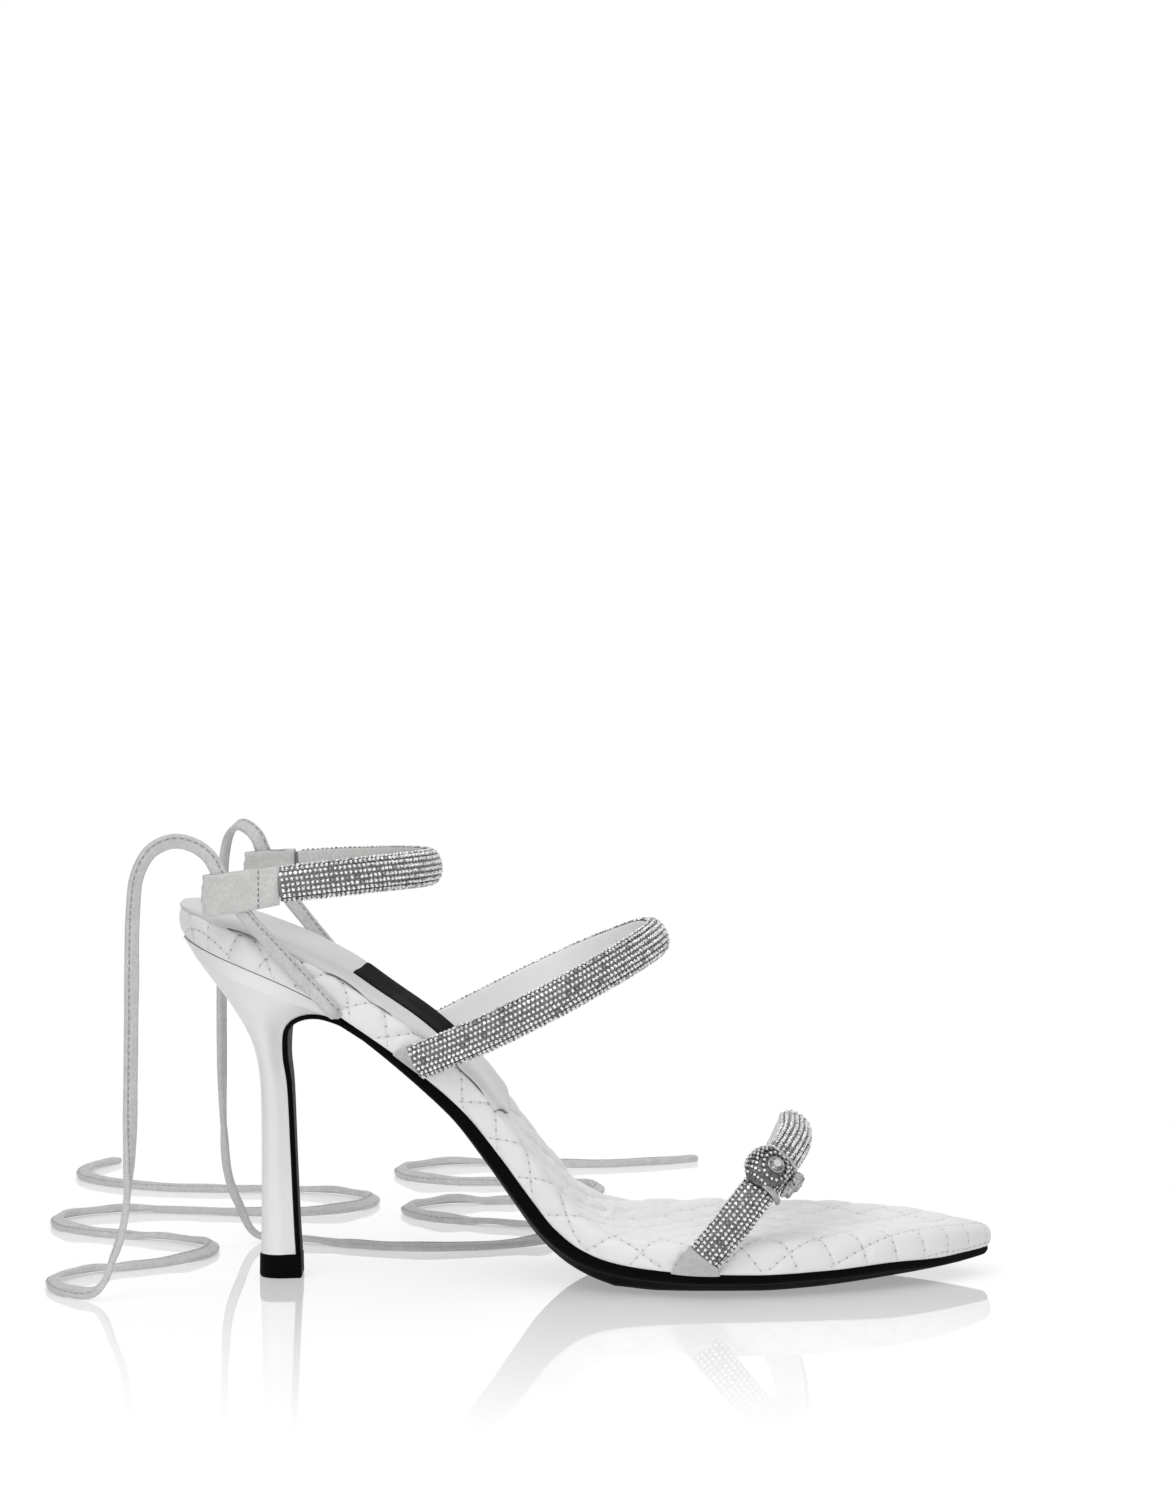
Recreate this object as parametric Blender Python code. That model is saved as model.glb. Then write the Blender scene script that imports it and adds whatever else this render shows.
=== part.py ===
# Lace-up sandal, right foot: pointed quilted footbed, stiletto heel, three padded straps,
# and flat ties that lead from the sole through two sleeves on the ankle strap.
# Every size below is in millimetres; X runs from the heel's back to the toe's tip,
# Y from the outer (lateral, -) side to the inner (medial, +) side, Z up from the floor.
import bpy
import bmesh
import math
from mathutils import Vector

MM = 0.001
GAP = 0.3                 # clearance between neighbouring pieces
CENTRE_X = 113.0          # the finished part is centred on its own box
CENTRE_Y = -0.5

for old in list(bpy.data.objects):
    bpy.data.objects.remove(old, do_unlink=True)


# ------------------------------------------------------------------ small maths
def smooth_curve(rows):
    """Monotone cubic through (x, value) rows, read with f(x)."""
    xs = [r[0] for r in rows]
    ys = [r[1] for r in rows]
    n = len(xs)
    h = [xs[i + 1] - xs[i] for i in range(n - 1)]
    d = [(ys[i + 1] - ys[i]) / h[i] for i in range(n - 1)]
    m = [d[0]] + [0.0] * (n - 2) + [d[-1]]
    for i in range(1, n - 1):
        if d[i - 1] * d[i] > 0:
            w1 = 2 * h[i] + h[i - 1]
            w2 = h[i] + 2 * h[i - 1]
            m[i] = (w1 + w2) / (w1 / d[i - 1] + w2 / d[i])

    def f(x):
        if x <= xs[0]:
            return ys[0] + m[0] * (x - xs[0])
        if x >= xs[-1]:
            return ys[-1] + m[-1] * (x - xs[-1])
        i = max(k for k in range(n - 1) if xs[k] <= x)
        t = (x - xs[i]) / h[i]
        return ((2 * t**3 - 3 * t**2 + 1) * ys[i] + (t**3 - 2 * t**2 + t) * h[i] * m[i]
                + (-2 * t**3 + 3 * t**2) * ys[i + 1] + (t**3 - t**2) * h[i] * m[i + 1])
    return f


def column(table, key, name):
    """One named column of a table of dicts as a smooth function of another."""
    return smooth_curve([(row[key], row[name]) for row in table])


def rounded_path(points, step):
    """Even points on a centripetal Catmull-Rom curve through the route's own points."""
    p = [Vector(q) for q in points]
    p = [p[0] * 2 - p[1]] + p + [p[-1] * 2 - p[-2]]
    dense = []
    for i in range(1, len(p) - 2):
        a, b, c, d = p[i - 1], p[i], p[i + 1], p[i + 2]
        ta = max((b - a).length, 1e-6) ** 0.5
        tb = max((c - b).length, 1e-6) ** 0.5
        tc = max((d - c).length, 1e-6) ** 0.5
        m1 = (b - a) / ta - (c - a) / (ta + tb) + (c - b) / tb
        m2 = (c - b) / tb - (d - b) / (tb + tc) + (d - c) / tc
        m1 *= tb
        m2 *= tb
        for k in range(24):
            t = k / 24.0
            dense.append(b * (2 * t**3 - 3 * t**2 + 1) + m1 * (t**3 - 2 * t**2 + t)
                         + c * (-2 * t**3 + 3 * t**2) + m2 * (t**3 - t**2))
    dense.append(p[-2])
    s = [0.0]
    for a, b in zip(dense, dense[1:]):
        s.append(s[-1] + (b - a).length)
    count = max(2, int(round(s[-1] / step)))
    out, j = [], 0
    for k in range(count + 1):
        want = s[-1] * k / count
        while j < len(s) - 2 and s[j + 1] < want:
            j += 1
        f = (want - s[j]) / max(s[j + 1] - s[j], 1e-9)
        out.append(dense[j].lerp(dense[j + 1], f))
    return out


def trimmed(points, length):
    """The first stretch of a polyline, cut at an exact length."""
    out, run = [points[0]], 0.0
    for a, b in zip(points, points[1:]):
        d = (b - a).length
        if run + d >= length:
            out.append(a.lerp(b, (length - run) / d))
            return out
        run += d
        out.append(b)
    return out


# ------------------------------------------------------------------ mesh builders
def material(name, colour, roughness, metallic=0.0):
    mat = bpy.data.materials.new(name)
    mat.use_nodes = True
    bsdf = mat.node_tree.nodes["Principled BSDF"]
    bsdf.inputs["Base Color"].default_value = (*colour, 1.0)
    bsdf.inputs["Roughness"].default_value = roughness
    bsdf.inputs["Metallic"].default_value = metallic
    mat.diffuse_color = (*colour, 1.0)
    return mat


def place(p):
    return ((p[0] - CENTRE_X) * MM, (p[1] - CENTRE_Y) * MM, p[2] * MM)


def make_object(name, bm, mat, angle=35.0):
    bmesh.ops.recalc_face_normals(bm, faces=bm.faces)
    mesh = bpy.data.meshes.new(name)
    bm.to_mesh(mesh)
    bm.free()
    ob = bpy.data.objects.new(name, mesh)
    bpy.context.scene.collection.objects.link(ob)
    mesh.materials.append(mat)
    mesh.shade_smooth()
    mesh.set_sharp_from_angle(angle=math.radians(angle))
    return ob


def loft(rings):
    """Closed rings of equal count, skinned in order, with flat ends."""
    bm = bmesh.new()
    rows = [[bm.verts.new(place(p)) for p in ring] for ring in rings]
    n = len(rows[0])
    for a, b in zip(rows, rows[1:]):
        for k in range(n):
            bm.faces.new((a[k], a[(k + 1) % n], b[(k + 1) % n], b[k]))
    bm.faces.new(rows[0][::-1])
    bm.faces.new(rows[-1])
    return bm


# ------------------------------------------------------------------ the last's sizes
TOE_X = 226.8             # tip of the footbed
HEEL_X = 0.6              # back of the footbed at its bottom edge
HEEL_RADIUS = 27.4        # plan radius of the heel seat
TIP_LENGTH = 8.0          # stretch of the rounded point
TIP_SLOPE = 0.95          # half-width gained per mm from the tip
TIP_RADIUS = 2.5          # plan radius of the point

# feather: height of the bottom edge; lean: tilt of the thickness from vertical toward
# the toe, in degrees; thick: padded thickness; middle: centre line; half: half-width
LAST = [
    dict(x=0.0,   feather=96.9, lean=-9.0, thick=9.6, middle=0.0,  half=27.4),
    dict(x=10.0,  feather=93.0, lean=-2.0, thick=10.2, middle=0.0,  half=27.4),
    dict(x=20.0,  feather=89.2, lean=7.0,  thick=10.3, middle=0.0,  half=27.4),
    dict(x=30.0,  feather=85.0, lean=15.0, thick=10.0, middle=0.0,  half=27.4),
    dict(x=40.0,  feather=79.9, lean=24.0, thick=9.9, middle=0.0,  half=26.9),
    dict(x=50.0,  feather=73.1, lean=32.0, thick=9.9, middle=0.0,  half=26.3),
    dict(x=60.0,  feather=66.0, lean=37.0, thick=9.9, middle=0.0,  half=25.5),
    dict(x=70.0,  feather=58.2, lean=41.5, thick=9.6, middle=0.1,  half=25.0),
    dict(x=80.0,  feather=49.2, lean=46.5, thick=8.6, middle=0.2,  half=25.3),
    dict(x=90.0,  feather=36.9, lean=50.5, thick=7.8, middle=0.3,  half=26.4),
    dict(x=98.0,  feather=26.2, lean=50.5, thick=7.9, middle=0.2,  half=28.0),
    dict(x=105.0, feather=17.6, lean=43.0, thick=8.1, middle=0.1,  half=29.4),
    dict(x=112.0, feather=12.4, lean=30.0, thick=8.2, middle=0.0,  half=31.0),
    dict(x=120.0, feather=9.4,  lean=16.0, thick=8.2, middle=-0.2, half=33.0),
    dict(x=130.0, feather=7.9,  lean=6.5,  thick=8.5, middle=-0.4, half=35.4),
    dict(x=145.0, feather=6.9,  lean=1.5,  thick=9.4, middle=-0.5, half=37.4),
    dict(x=160.0, feather=6.6,  lean=0.0,  thick=9.9, middle=-0.5, half=36.9),
    dict(x=180.0, feather=7.0,  lean=-1.0, thick=9.7, middle=-0.2, half=32.2),
    dict(x=200.0, feather=7.8,  lean=-2.0, thick=8.6, middle=0.9,  half=23.8),
    dict(x=212.0, feather=7.7,  lean=-1.0, thick=7.6, middle=2.2,  half=16.5),
    dict(x=218.8, feather=7.7,  lean=0.0,  thick=6.9, middle=3.2,  half=9.9),
    dict(x=227.0, feather=7.8,  lean=0.0,  thick=5.6, middle=4.6,  half=0.0),
]
feather_z = column(LAST, "x", "feather")
lean_deg = column(LAST, "x", "lean")
thick_mm = column(LAST, "x", "thick")
middle_y = column(LAST, "x", "middle")
half_mm = column(LAST, "x", "half")


def half_width(x):
    """Half-width of the footbed: round heel, table, then a rounded point."""
    if x < HEEL_X + HEEL_RADIUS:
        k = max(0.0, 1.0 - ((HEEL_X + HEEL_RADIUS - x) / HEEL_RADIUS) ** 2.15)
        return half_mm(x) * k ** (1 / 2.15)
    if x > TOE_X - TIP_LENGTH:
        d = max(0.0, TOE_X - x)
        return math.sqrt((TIP_SLOPE * d) ** 2 + 2 * TIP_RADIUS * d)
    return half_mm(x)


def on_last(x, y, n):
    """A point n above the feather surface, measured along the lean."""
    a = math.radians(lean_deg(x))
    return (x + n * math.sin(a), y, feather_z(x) + n * math.cos(a))


def stations(heel_steps, mid_steps, toe_steps):
    xs = [HEEL_X + HEEL_RADIUS * (1 - math.cos(math.pi / 2 * i / heel_steps))
          for i in range(heel_steps)]
    a, b = HEEL_X + HEEL_RADIUS, TOE_X - TIP_LENGTH
    xs += [a + (b - a) * i / mid_steps for i in range(mid_steps)]
    xs += [TOE_X - TIP_LENGTH * (1 - i / toe_steps) ** 2 for i in range(toe_steps + 1)]
    return xs


def outline(xs):
    """Closed plan outline: heel back, lateral side, tip, medial side, with its inward
    normals and how far each point may be inset before it meets the other side."""
    left = [(x, middle_y(x) - half_width(x)) for x in xs]
    right = [(x, middle_y(x) + half_width(x)) for x in xs[1:-1]][::-1]
    pts = left + right
    n = len(pts)
    out = []
    for k, (x, y) in enumerate(pts):
        ax, ay = pts[k - 1]
        bx, by = pts[(k + 1) % n]
        tx, ty = bx - ax, by - ay
        s = math.hypot(tx, ty)
        nx, ny = -ty / s, tx / s
        room = half_width(x) / abs(ny) if abs(ny) > 0.05 else None
        out.append([x, y, nx, ny, room])
    last = len(xs) - 1
    out[0][4] = out[1][4] or HEEL_RADIUS
    out[last][4] = out[last - 1][4] or TIP_RADIUS
    for row in out:
        if row[4] is None:
            row[4] = HEEL_RADIUS
    return out


def platform(xs, wall, divisions, dish, point):
    """A closed slab on the last: wall is rows of (inset, level) from the bottom edge to
    the top edge, level 0 at the feather and 1 at the top."""
    edge = outline(xs)
    count = len(xs)
    bm = bmesh.new()
    rings = []
    for inset, level in wall:
        ring = []
        for x, y, nx, ny, room in edge:
            m = 0.95 * room
            d = m * (1 - math.exp(-inset / m)) if inset > 0 else inset
            px, py = x + nx * d, y + ny * d
            ring.append(bm.verts.new(place(point(px, py, level))))
        rings.append(ring)
    total = len(edge)
    for a, b in zip(rings, rings[1:]):
        for k in range(total):
            bm.faces.new((a[k], a[(k + 1) % total], b[(k + 1) % total], b[k]))

    def lid(ring, inset, level, parts, sink):
        rows = []
        for i in range(1, count - 1):
            a, b = ring[i], ring[total - i]
            ea, eb = edge[i], edge[total - i]
            row = [a]
            for k in range(1, parts):
                f = k / parts
                ma, mb = 0.95 * ea[4], 0.95 * eb[4]
                da = ma * (1 - math.exp(-inset / ma))
                db = mb * (1 - math.exp(-inset / mb))
                pa = (ea[0] + ea[2] * da, ea[1] + ea[3] * da)
                pb = (eb[0] + eb[2] * db, eb[1] + eb[3] * db)
                px = pa[0] + (pb[0] - pa[0]) * f
                py = pa[1] + (pb[1] - pa[1]) * f
                room = min(1.0, half_width(px) / 20.0)
                drop = sink * room * math.sin(math.pi * f)
                row.append(bm.verts.new(place(point(px, py, level, drop))))
            row.append(b)
            rows.append(row)
        for ra, rb in zip(rows, rows[1:]):
            for k in range(len(ra) - 1):
                bm.faces.new((ra[k], ra[k + 1], rb[k + 1], rb[k]))
        for k in range(len(rows[0]) - 1):
            bm.faces.new((ring[0], rows[0][k], rows[0][k + 1]))
            bm.faces.new((ring[count - 1], rows[-1][k], rows[-1][k + 1]))

    lid(rings[-1], wall[-1][0], wall[-1][1], divisions, dish)
    lid(rings[0], wall[0][0], wall[0][1], 1, 0.0)
    return bm


# ------------------------------------------------------------------ footbed
white_quilt = material("footbed_white_leather", (0.86, 0.86, 0.85), 0.42)
white_heel = material("heel_white_leather", (0.88, 0.88, 0.87), 0.38)
black_sole = material("outsole_black", (0.02, 0.02, 0.02), 0.45)
black_tip = material("top_piece_black", (0.015, 0.015, 0.015), 0.5)
FOOTBED_WALL = [(1.3, 0.0), (0.25, 0.14), (0.0, 0.42), (0.35, 0.72), (1.5, 0.92), (3.6, 1.0)]
DISH = 1.1


def footbed_point(x, y, level, drop=0.0):
    return on_last(x, y, thick_mm(x) * level - drop)


make_object("footbed", platform(stations(7, 24, 4), FOOTBED_WALL, 4, DISH, footbed_point),
            white_quilt)

# ------------------------------------------------------------------ outsole
# The breast curve: where the white heel meets the black sole, from the waist over the
# arch and down the front of the heel.
BREAST = [(49.8, 72.8), (46.5, 74.2), (43.2, 75.1), (40.0, 75.6), (36.6, 75.4),
          (33.6, 74.4), (31.3, 72.8), (29.9, 70.6), (29.3, 67.4), (29.3, 61.7),
          (30.3, 53.4), (31.1, 34.0), (31.8, 17.4), (32.4, 6.7)]
# travel is measured back from the toe's tip along the sole's top face
SOLE = [
    # x on the last; inset of the top edge; edge: thickness at the edge; centre: height
    # above the floor of the middle of the underside
    dict(x=226.3, inset=0.9, edge=1.8, centre=5.7),
    dict(x=216.0, inset=1.4, edge=2.6, centre=4.4),
    dict(x=206.0, inset=1.8, edge=2.8, centre=3.4),
    dict(x=196.0, inset=2.0, edge=2.9, centre=2.45),
    dict(x=187.0, inset=2.2, edge=3.0, centre=1.6),
    dict(x=174.0, inset=2.3, edge=3.0, centre=0.55),
    dict(x=160.0, inset=2.4, edge=3.2, centre=0.0),
    dict(x=134.0, inset=2.4, edge=3.7, centre=0.0),
    dict(x=124.0, inset=2.4, edge=3.9, centre=0.7),
]
SHANK = [
    # x on the last; inset of the top edge; edge and centre: thickness there
    dict(x=116.0, inset=2.4, edge=4.0, centre=7.1),
    dict(x=108.0, inset=2.4, edge=4.1, centre=5.9),
    dict(x=98.0,  inset=2.3, edge=4.1, centre=5.1),
    dict(x=84.0,  inset=2.2, edge=3.9, centre=4.5),
    dict(x=70.0,  inset=2.1, edge=3.3, centre=3.6),
    dict(x=58.0,  inset=2.0, edge=2.4, centre=2.6),
    dict(x=50.5,  inset=2.2, edge=1.8, centre=1.9),
]
HEEL_FACE = [
    # z down the breast curve, by its row number; half: half-width; thick: thickness
    dict(row=1,  half=22.9, thick=1.5),
    dict(row=2,  half=21.6, thick=1.3),
    dict(row=3,  half=20.0, thick=1.2),
    dict(row=4,  half=18.0, thick=1.2),
    dict(row=5,  half=16.0, thick=1.2),
    dict(row=6,  half=14.2, thick=1.2),
    dict(row=7,  half=12.7, thick=1.2),
    dict(row=8,  half=11.0, thick=1.3),
    dict(row=9,  half=8.4,  thick=1.3),
    dict(row=10, half=6.3,  thick=1.2),
    dict(row=11, half=5.0,  thick=1.2),
    dict(row=12, half=4.9,  thick=1.2),
    dict(row=13, half=5.2,  thick=1.2),
]
SECTION = [  # across the sole: share of the half-width, share edge-to-centre thickness
    (1.0, 0.0), (0.995, 0.45), (0.95, 0.8), (0.85, 1.0), (0.67, 2.0)]


def sole_ring(top, down, middle, half, edge, centre):
    """A ring of the sole: top is (x, z) of its flat face, down its outward unit."""
    def at(share, t):
        return (top[0] + down[0] * t, middle + share * half, top[1] + down[1] * t)
    side = []
    for share, k in SECTION:
        t = edge * k if k <= 1.0 else centre
        side.append((share, t))
    ring = [at(-s, t) for s, t in side] + [at(s, t) for s, t in side[::-1]]
    return ring


def breast_offset(k, off):
    """The breast curve's row k, moved off toward the heel (+) or the front (-)."""
    a = BREAST[max(0, k - 1)]
    b = BREAST[min(len(BREAST) - 1, k + 1)]
    tx, tz = b[0] - a[0], b[1] - a[1]
    s = math.hypot(tx, tz)
    nx, nz = tz / s, -tx / s          # toward the heel's body: back and up
    return (BREAST[k][0] + nx * off, BREAST[k][1] + nz * off), (-nx, -nz)


def outsole():
    inset_f = smooth_curve(sorted([(r["x"], r["inset"]) for r in SOLE + SHANK]))
    edge_f = smooth_curve(sorted([(r["x"], r["edge"]) for r in SOLE + SHANK]))
    floor_f = smooth_curve(sorted([(r["x"], r["centre"]) for r in SOLE]))
    shank_f = smooth_curve(sorted([(r["x"], r["centre"]) for r in SHANK]))
    xs = [226.3, 225.7, 224.4, 222.4, 219.4, 215, 210, 204, 197, 187, 179, 170, 160, 150,
          142, 134, 127, 121, 116, 112, 108, 104, 100, 95, 90, 84, 77, 70, 64, 58, 53.5]
    rings = []
    for x in xs:
        h = half_width(x) - inset_f(x)
        h = max(h, 0.35 * half_width(x))
        top = on_last(x, 0.0, -GAP)
        a = math.atan2(feather_z(x + 0.8) - feather_z(x - 0.8), 1.6)
        down = (math.sin(a), -math.cos(a))
        if x >= 121:
            down = (0.0, -1.0)
            centre = top[2] - floor_f(x)
        else:
            centre = shank_f(x)
            if x >= 112:      # ease from the flat forefoot into the shank
                f = (121 - x) / 9.0
                down = Vector((0.0, -1.0)).lerp(Vector(down), f).normalized()
        rings.append(sole_ring((top[0], top[2]), down, middle_y(x), h, edge_f(x), centre))
    for row in HEEL_FACE:
        (px, pz), (nx, nz) = breast_offset(row["row"], -0.15)
        rings.append(sole_ring((px, pz), (nx, nz), 0.0, row["half"], row["thick"],
                               row["thick"]))
    return loft(rings)


make_object("outsole", outsole(), black_sole)

# ------------------------------------------------------------------ heel
HEEL = [
    # back edge (bx, bz); front: row of the breast curve; half: widest half-width;
    # face: half-width of the breast
    dict(bx=22.3, bz=6.7,  front=13, half=5.7,  face=4.6),
    dict(bx=22.5, bz=17.4, front=12, half=5.3,  face=4.3),
    dict(bx=22.6, bz=34.0, front=11, half=5.4,  face=4.4),
    dict(bx=22.5, bz=50.5, front=10, half=6.7,  face=5.7),
    dict(bx=21.9, bz=58.9, front=9,  half=9.2,  face=7.8),
    dict(bx=20.6, bz=64.9, front=8,  half=12.2, face=10.4),
    dict(bx=18.6, bz=70.0, front=7,  half=15.2, face=12.1),
    dict(bx=16.0, bz=74.6, front=6,  half=17.8, face=13.6),
    dict(bx=13.2, bz=78.9, front=5,  half=20.2, face=15.4),
    dict(bx=10.2, bz=82.9, front=4,  half=22.1, face=17.4),
    dict(bx=7.2,  bz=86.9, front=3,  half=23.8, face=19.5),
    dict(bx=4.3,  bz=90.9, front=2,  half=25.4, face=21.6),
]
HEEL_END_X = 44.6         # front end of the wedge under the footbed
HEEL_SIDE = [0.0, 0.02, 0.075, 0.16, 0.28, 0.42, 0.58, 0.74, 0.88, 1.0]   # share back to front


def heel_half(u, half, face):
    """Half-width of a heel ring at share u from its back: round back, flat front."""
    wide = 0.52
    if u < wide:
        return half * (max(0.0, 1 - ((wide - u) / wide) ** 2.2)) ** (1 / 2.2)
    t = (u - wide) / (1 - wide)
    return half + (face - half) * t * t * (3 - 2 * t)


def heel_ring(row):
    back = (row["bx"], row["bz"])
    front, _ = breast_offset(row["front"], 0.15)
    side = []
    for u in HEEL_SIDE:
        x = back[0] + (front[0] - back[0]) * u
        z = back[1] + (front[1] - back[1]) * u
        side.append((x, heel_half(u, row["half"], row["face"]), z))
    return [(x, -y, z) for x, y, z in side] + [(x, y, z) for x, y, z in side[:0:-1]]


def seat_ring():
    """The top ring: the underside of the footbed's heel, a gap below it."""
    start = HEEL_X + 0.9
    side = []
    for u in HEEL_SIDE:
        x = start + (HEEL_END_X - start) * u
        h = half_width(x) - 1.6
        p = on_last(x, 0.0, -GAP)
        side.append((p[0], max(0.0, h) if u > 0 else 0.0, p[2]))
    return [(x, -y, z) for x, y, z in side] + [(x, y, z) for x, y, z in side[:0:-1]]


def heel():
    rings = [heel_ring(r) for r in HEEL] + [seat_ring()]
    bm = bmesh.new()
    rows = [[bm.verts.new(place(p)) for p in ring] for ring in rings]
    n = len(rows[0])
    for a, b in zip(rows, rows[1:]):
        for k in range(n):
            bm.faces.new((a[k], a[(k + 1) % n], b[(k + 1) % n], b[k]))
    bm.faces.new(rows[0][::-1])
    top, steps = rows[-1], len(HEEL_SIDE)
    bm.faces.new((top[0], top[1], top[n - 1]))
    for k in range(1, steps - 1):
        bm.faces.new((top[k], top[k + 1], top[n - k - 1], top[n - k]))
    return bm


make_object("heel", heel(), white_heel)

# ------------------------------------------------------------------ heel top piece
TOP_PIECE = [
    # height; grow: how far the outline stands outside the heel's own foot
    dict(z=0.0, grow=-0.3),
    dict(z=0.5, grow=0.1),
    dict(z=6.4, grow=0.0),
]


def top_piece():
    rings = []
    for row in TOP_PIECE:
        g = row["grow"]
        back, front = 22.0 - g, 33.9 + g
        side = []
        for u in HEEL_SIDE:
            side.append((back + (front - back) * u, heel_half(u, 5.8 + g, 5.2 + g)))
        rings.append([(x, -y, row["z"]) for x, y in side]
                     + [(x, y, row["z"]) for x, y in side[:0:-1]])
    return loft(rings)


make_object("heel_top_piece", top_piece(), black_tip)

# ------------------------------------------------------------------ straps
BAND_WIDTH = 10.5
BAND_HEIGHT = 4.5         # flat inner face to the crown of the padding
BAND_PROFILE = [          # share of the half-width, share of the height; inner face first
    (-0.93, 0.0), (0.93, 0.0), (1.0, 0.26), (0.93, 0.60), (0.68, 0.88), (0.25, 1.0),
    (-0.25, 1.0), (-0.68, 0.88), (-0.93, 0.60), (-1.0, 0.26)]

TOE_STRAP = [  # the middle of the inner face, from the outer side over to the inner side
    (141.3, -39.0, 6.6), (145.6, -39.2, 12.3), (153.0, -39.2, 21.5), (160.0, -36.6, 30.0),
    (166.0, -28.6, 36.0), (170.0, -16.0, 39.6), (171.2, 0.0, 40.4), (171.8, 15.0, 39.4),
    (171.6, 27.0, 35.2), (169.4, 34.6, 28.4), (165.6, 37.8, 20.6), (161.4, 38.2, 13.0),
    (158.0, 37.9, 6.8)]
TOE_ACROSS = (0.80, 0.0, -0.60)

INSTEP_STRAP = [
    (62.2, -26.4, 60.6), (66.6, -26.6, 63.5), (74.5, -28.4, 67.0), (84.0, -31.2, 71.3),
    (98.5, -32.4, 78.4), (111.0, -29.4, 84.8), (122.2, -21.4, 90.4), (129.4, -11.0, 93.9),
    (131.9, 0.0, 95.1), (129.4, 11.0, 94.2), (122.2, 21.4, 90.6), (111.0, 29.2, 85.2),
    (98.5, 32.2, 79.0), (84.0, 31.0, 71.8), (74.5, 28.4, 67.3), (66.6, 26.7, 63.5),
    (62.2, 26.5, 60.6)]
INSTEP_ACROSS = (0.46, 0.0, -0.888)

ANKLE_STRAP = [
    (30.0, -31.2, 112.8), (42.0, -30.8, 114.2), (54.0, -26.6, 115.2), (63.0, -18.2, 115.4),
    (67.8, -8.6, 115.2), (69.0, 0.0, 114.9), (67.8, 8.6, 114.5), (63.0, 18.2, 114.0),
    (54.0, 26.4, 113.3), (42.0, 30.2, 112.6), (30.5, 30.4, 111.9)]
ANKLE_ACROSS = (0.09, 0.0, -0.996)


def band_frames(route, across, step):
    pts = rounded_path(route, step)
    w0 = Vector(across).normalized()
    frames = []
    for k, p in enumerate(pts):
        t = (pts[min(k + 1, len(pts) - 1)] - pts[max(k - 1, 0)]).normalized()
        out = w0.cross(t).normalized()
        w = t.cross(out).normalized()
        frames.append((p, t, w, out))
    return frames


END_SKEW = 17.0           # stretch over which a strap's end is cut to the feather line


def feather_shift(p, t):
    """How far p moves along t to reach the footbed's feather line."""
    q, moved = p.copy(), 0.0
    for _ in range(12):
        slope = (feather_z(q.x + 0.5) - feather_z(q.x - 0.5))
        rate = t.z - slope * t.x
        step = (feather_z(q.x) + 0.3 - q.z) / rate
        q = q + t * step
        moved += step
    return moved


def band(route, across, step, to_feather=False):
    """A half-round padded strap; out points away from the foot. Both ends of a strap
    that comes out of the sole are cut along the feather line."""
    frames = band_frames(route, across, step)
    rings = []
    for p, t, w, out in frames:
        rings.append([p + w * (a * BAND_WIDTH / 2) + out * (b * BAND_HEIGHT)
                      for a, b in BAND_PROFILE])
    if to_feather:
        for order in (1, -1):
            seq = list(range(len(frames)))[::order]
            end = seq[0]
            t_end = frames[end][1] * order
            shift = [feather_shift(q, t_end) for q in rings[end]]
            run = 0.0
            for a, b in zip(seq, seq[1:]):
                keep = max(0.0, 1.0 - run / END_SKEW)
                t_a = frames[a][1] * order
                rings[a] = [q + t_a * (m * keep) for q, m in zip(rings[a], shift)]
                run += (frames[b][0] - frames[a][0]).length
                if run > END_SKEW:
                    break
    return loft(rings)


crystal = material("strap_crystal", (0.62, 0.62, 0.62), 0.25, 0.6)
suede = material("grey_suede", (0.60, 0.61, 0.59), 0.9)
make_object("toe_strap", band(TOE_STRAP, TOE_ACROSS, 3.6, True), crystal)
make_object("instep_strap", band(INSTEP_STRAP, INSTEP_ACROSS, 4.6, True), crystal)
make_object("ankle_strap", band(ANKLE_STRAP, ANKLE_ACROSS, 4.6), crystal)

# ------------------------------------------------------------------ lace sleeves
LACE_WIDTH = 4.2
LACE_THICK = 1.9
# the lace's own route, sole to sleeve top, and the sleeve's corners: near the strap end
# (front) and at its free end (back), each with the inner face's y and its two heights
LACES = {
    "lateral": dict(
        route=[(45.6, -28.7, 76.6), (40.4, -29.0, 82.2), (34.2, -29.6, 89.0),
               (27.4, -31.2, 96.9), (20.4, -32.8, 105.2), (16.7, -31.9, 110.8),
               (13.2, -30.8, 116.6)],
        front=dict(x=29.4, y=-31.1, low=107.4, high=118.0),
        back=dict(x=8.8, y=-26.9, low=103.6, high=115.2), side=-1),
    "medial": dict(
        route=[(51.6, 27.7, 72.6), (46.4, 28.1, 80.4), (41.0, 28.7, 87.9),
               (34.2, 30.4, 96.2), (27.6, 32.8, 104.2), (23.8, 32.9, 110.4),
               (20.7, 32.3, 117.3)],
        front=dict(x=29.9, y=30.4, low=106.6, high=117.2),
        back=dict(x=15.6, y=28.0, low=105.4, high=116.4), side=1),
}
SLEEVE_THICK = 4.5
SLOT_WIDTH = 5.8
SLOT_THICK = 2.9


def at_height(route, z):
    pts = rounded_path(route, 1.0)
    return min(pts, key=lambda p: abs(p.z - z))


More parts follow.
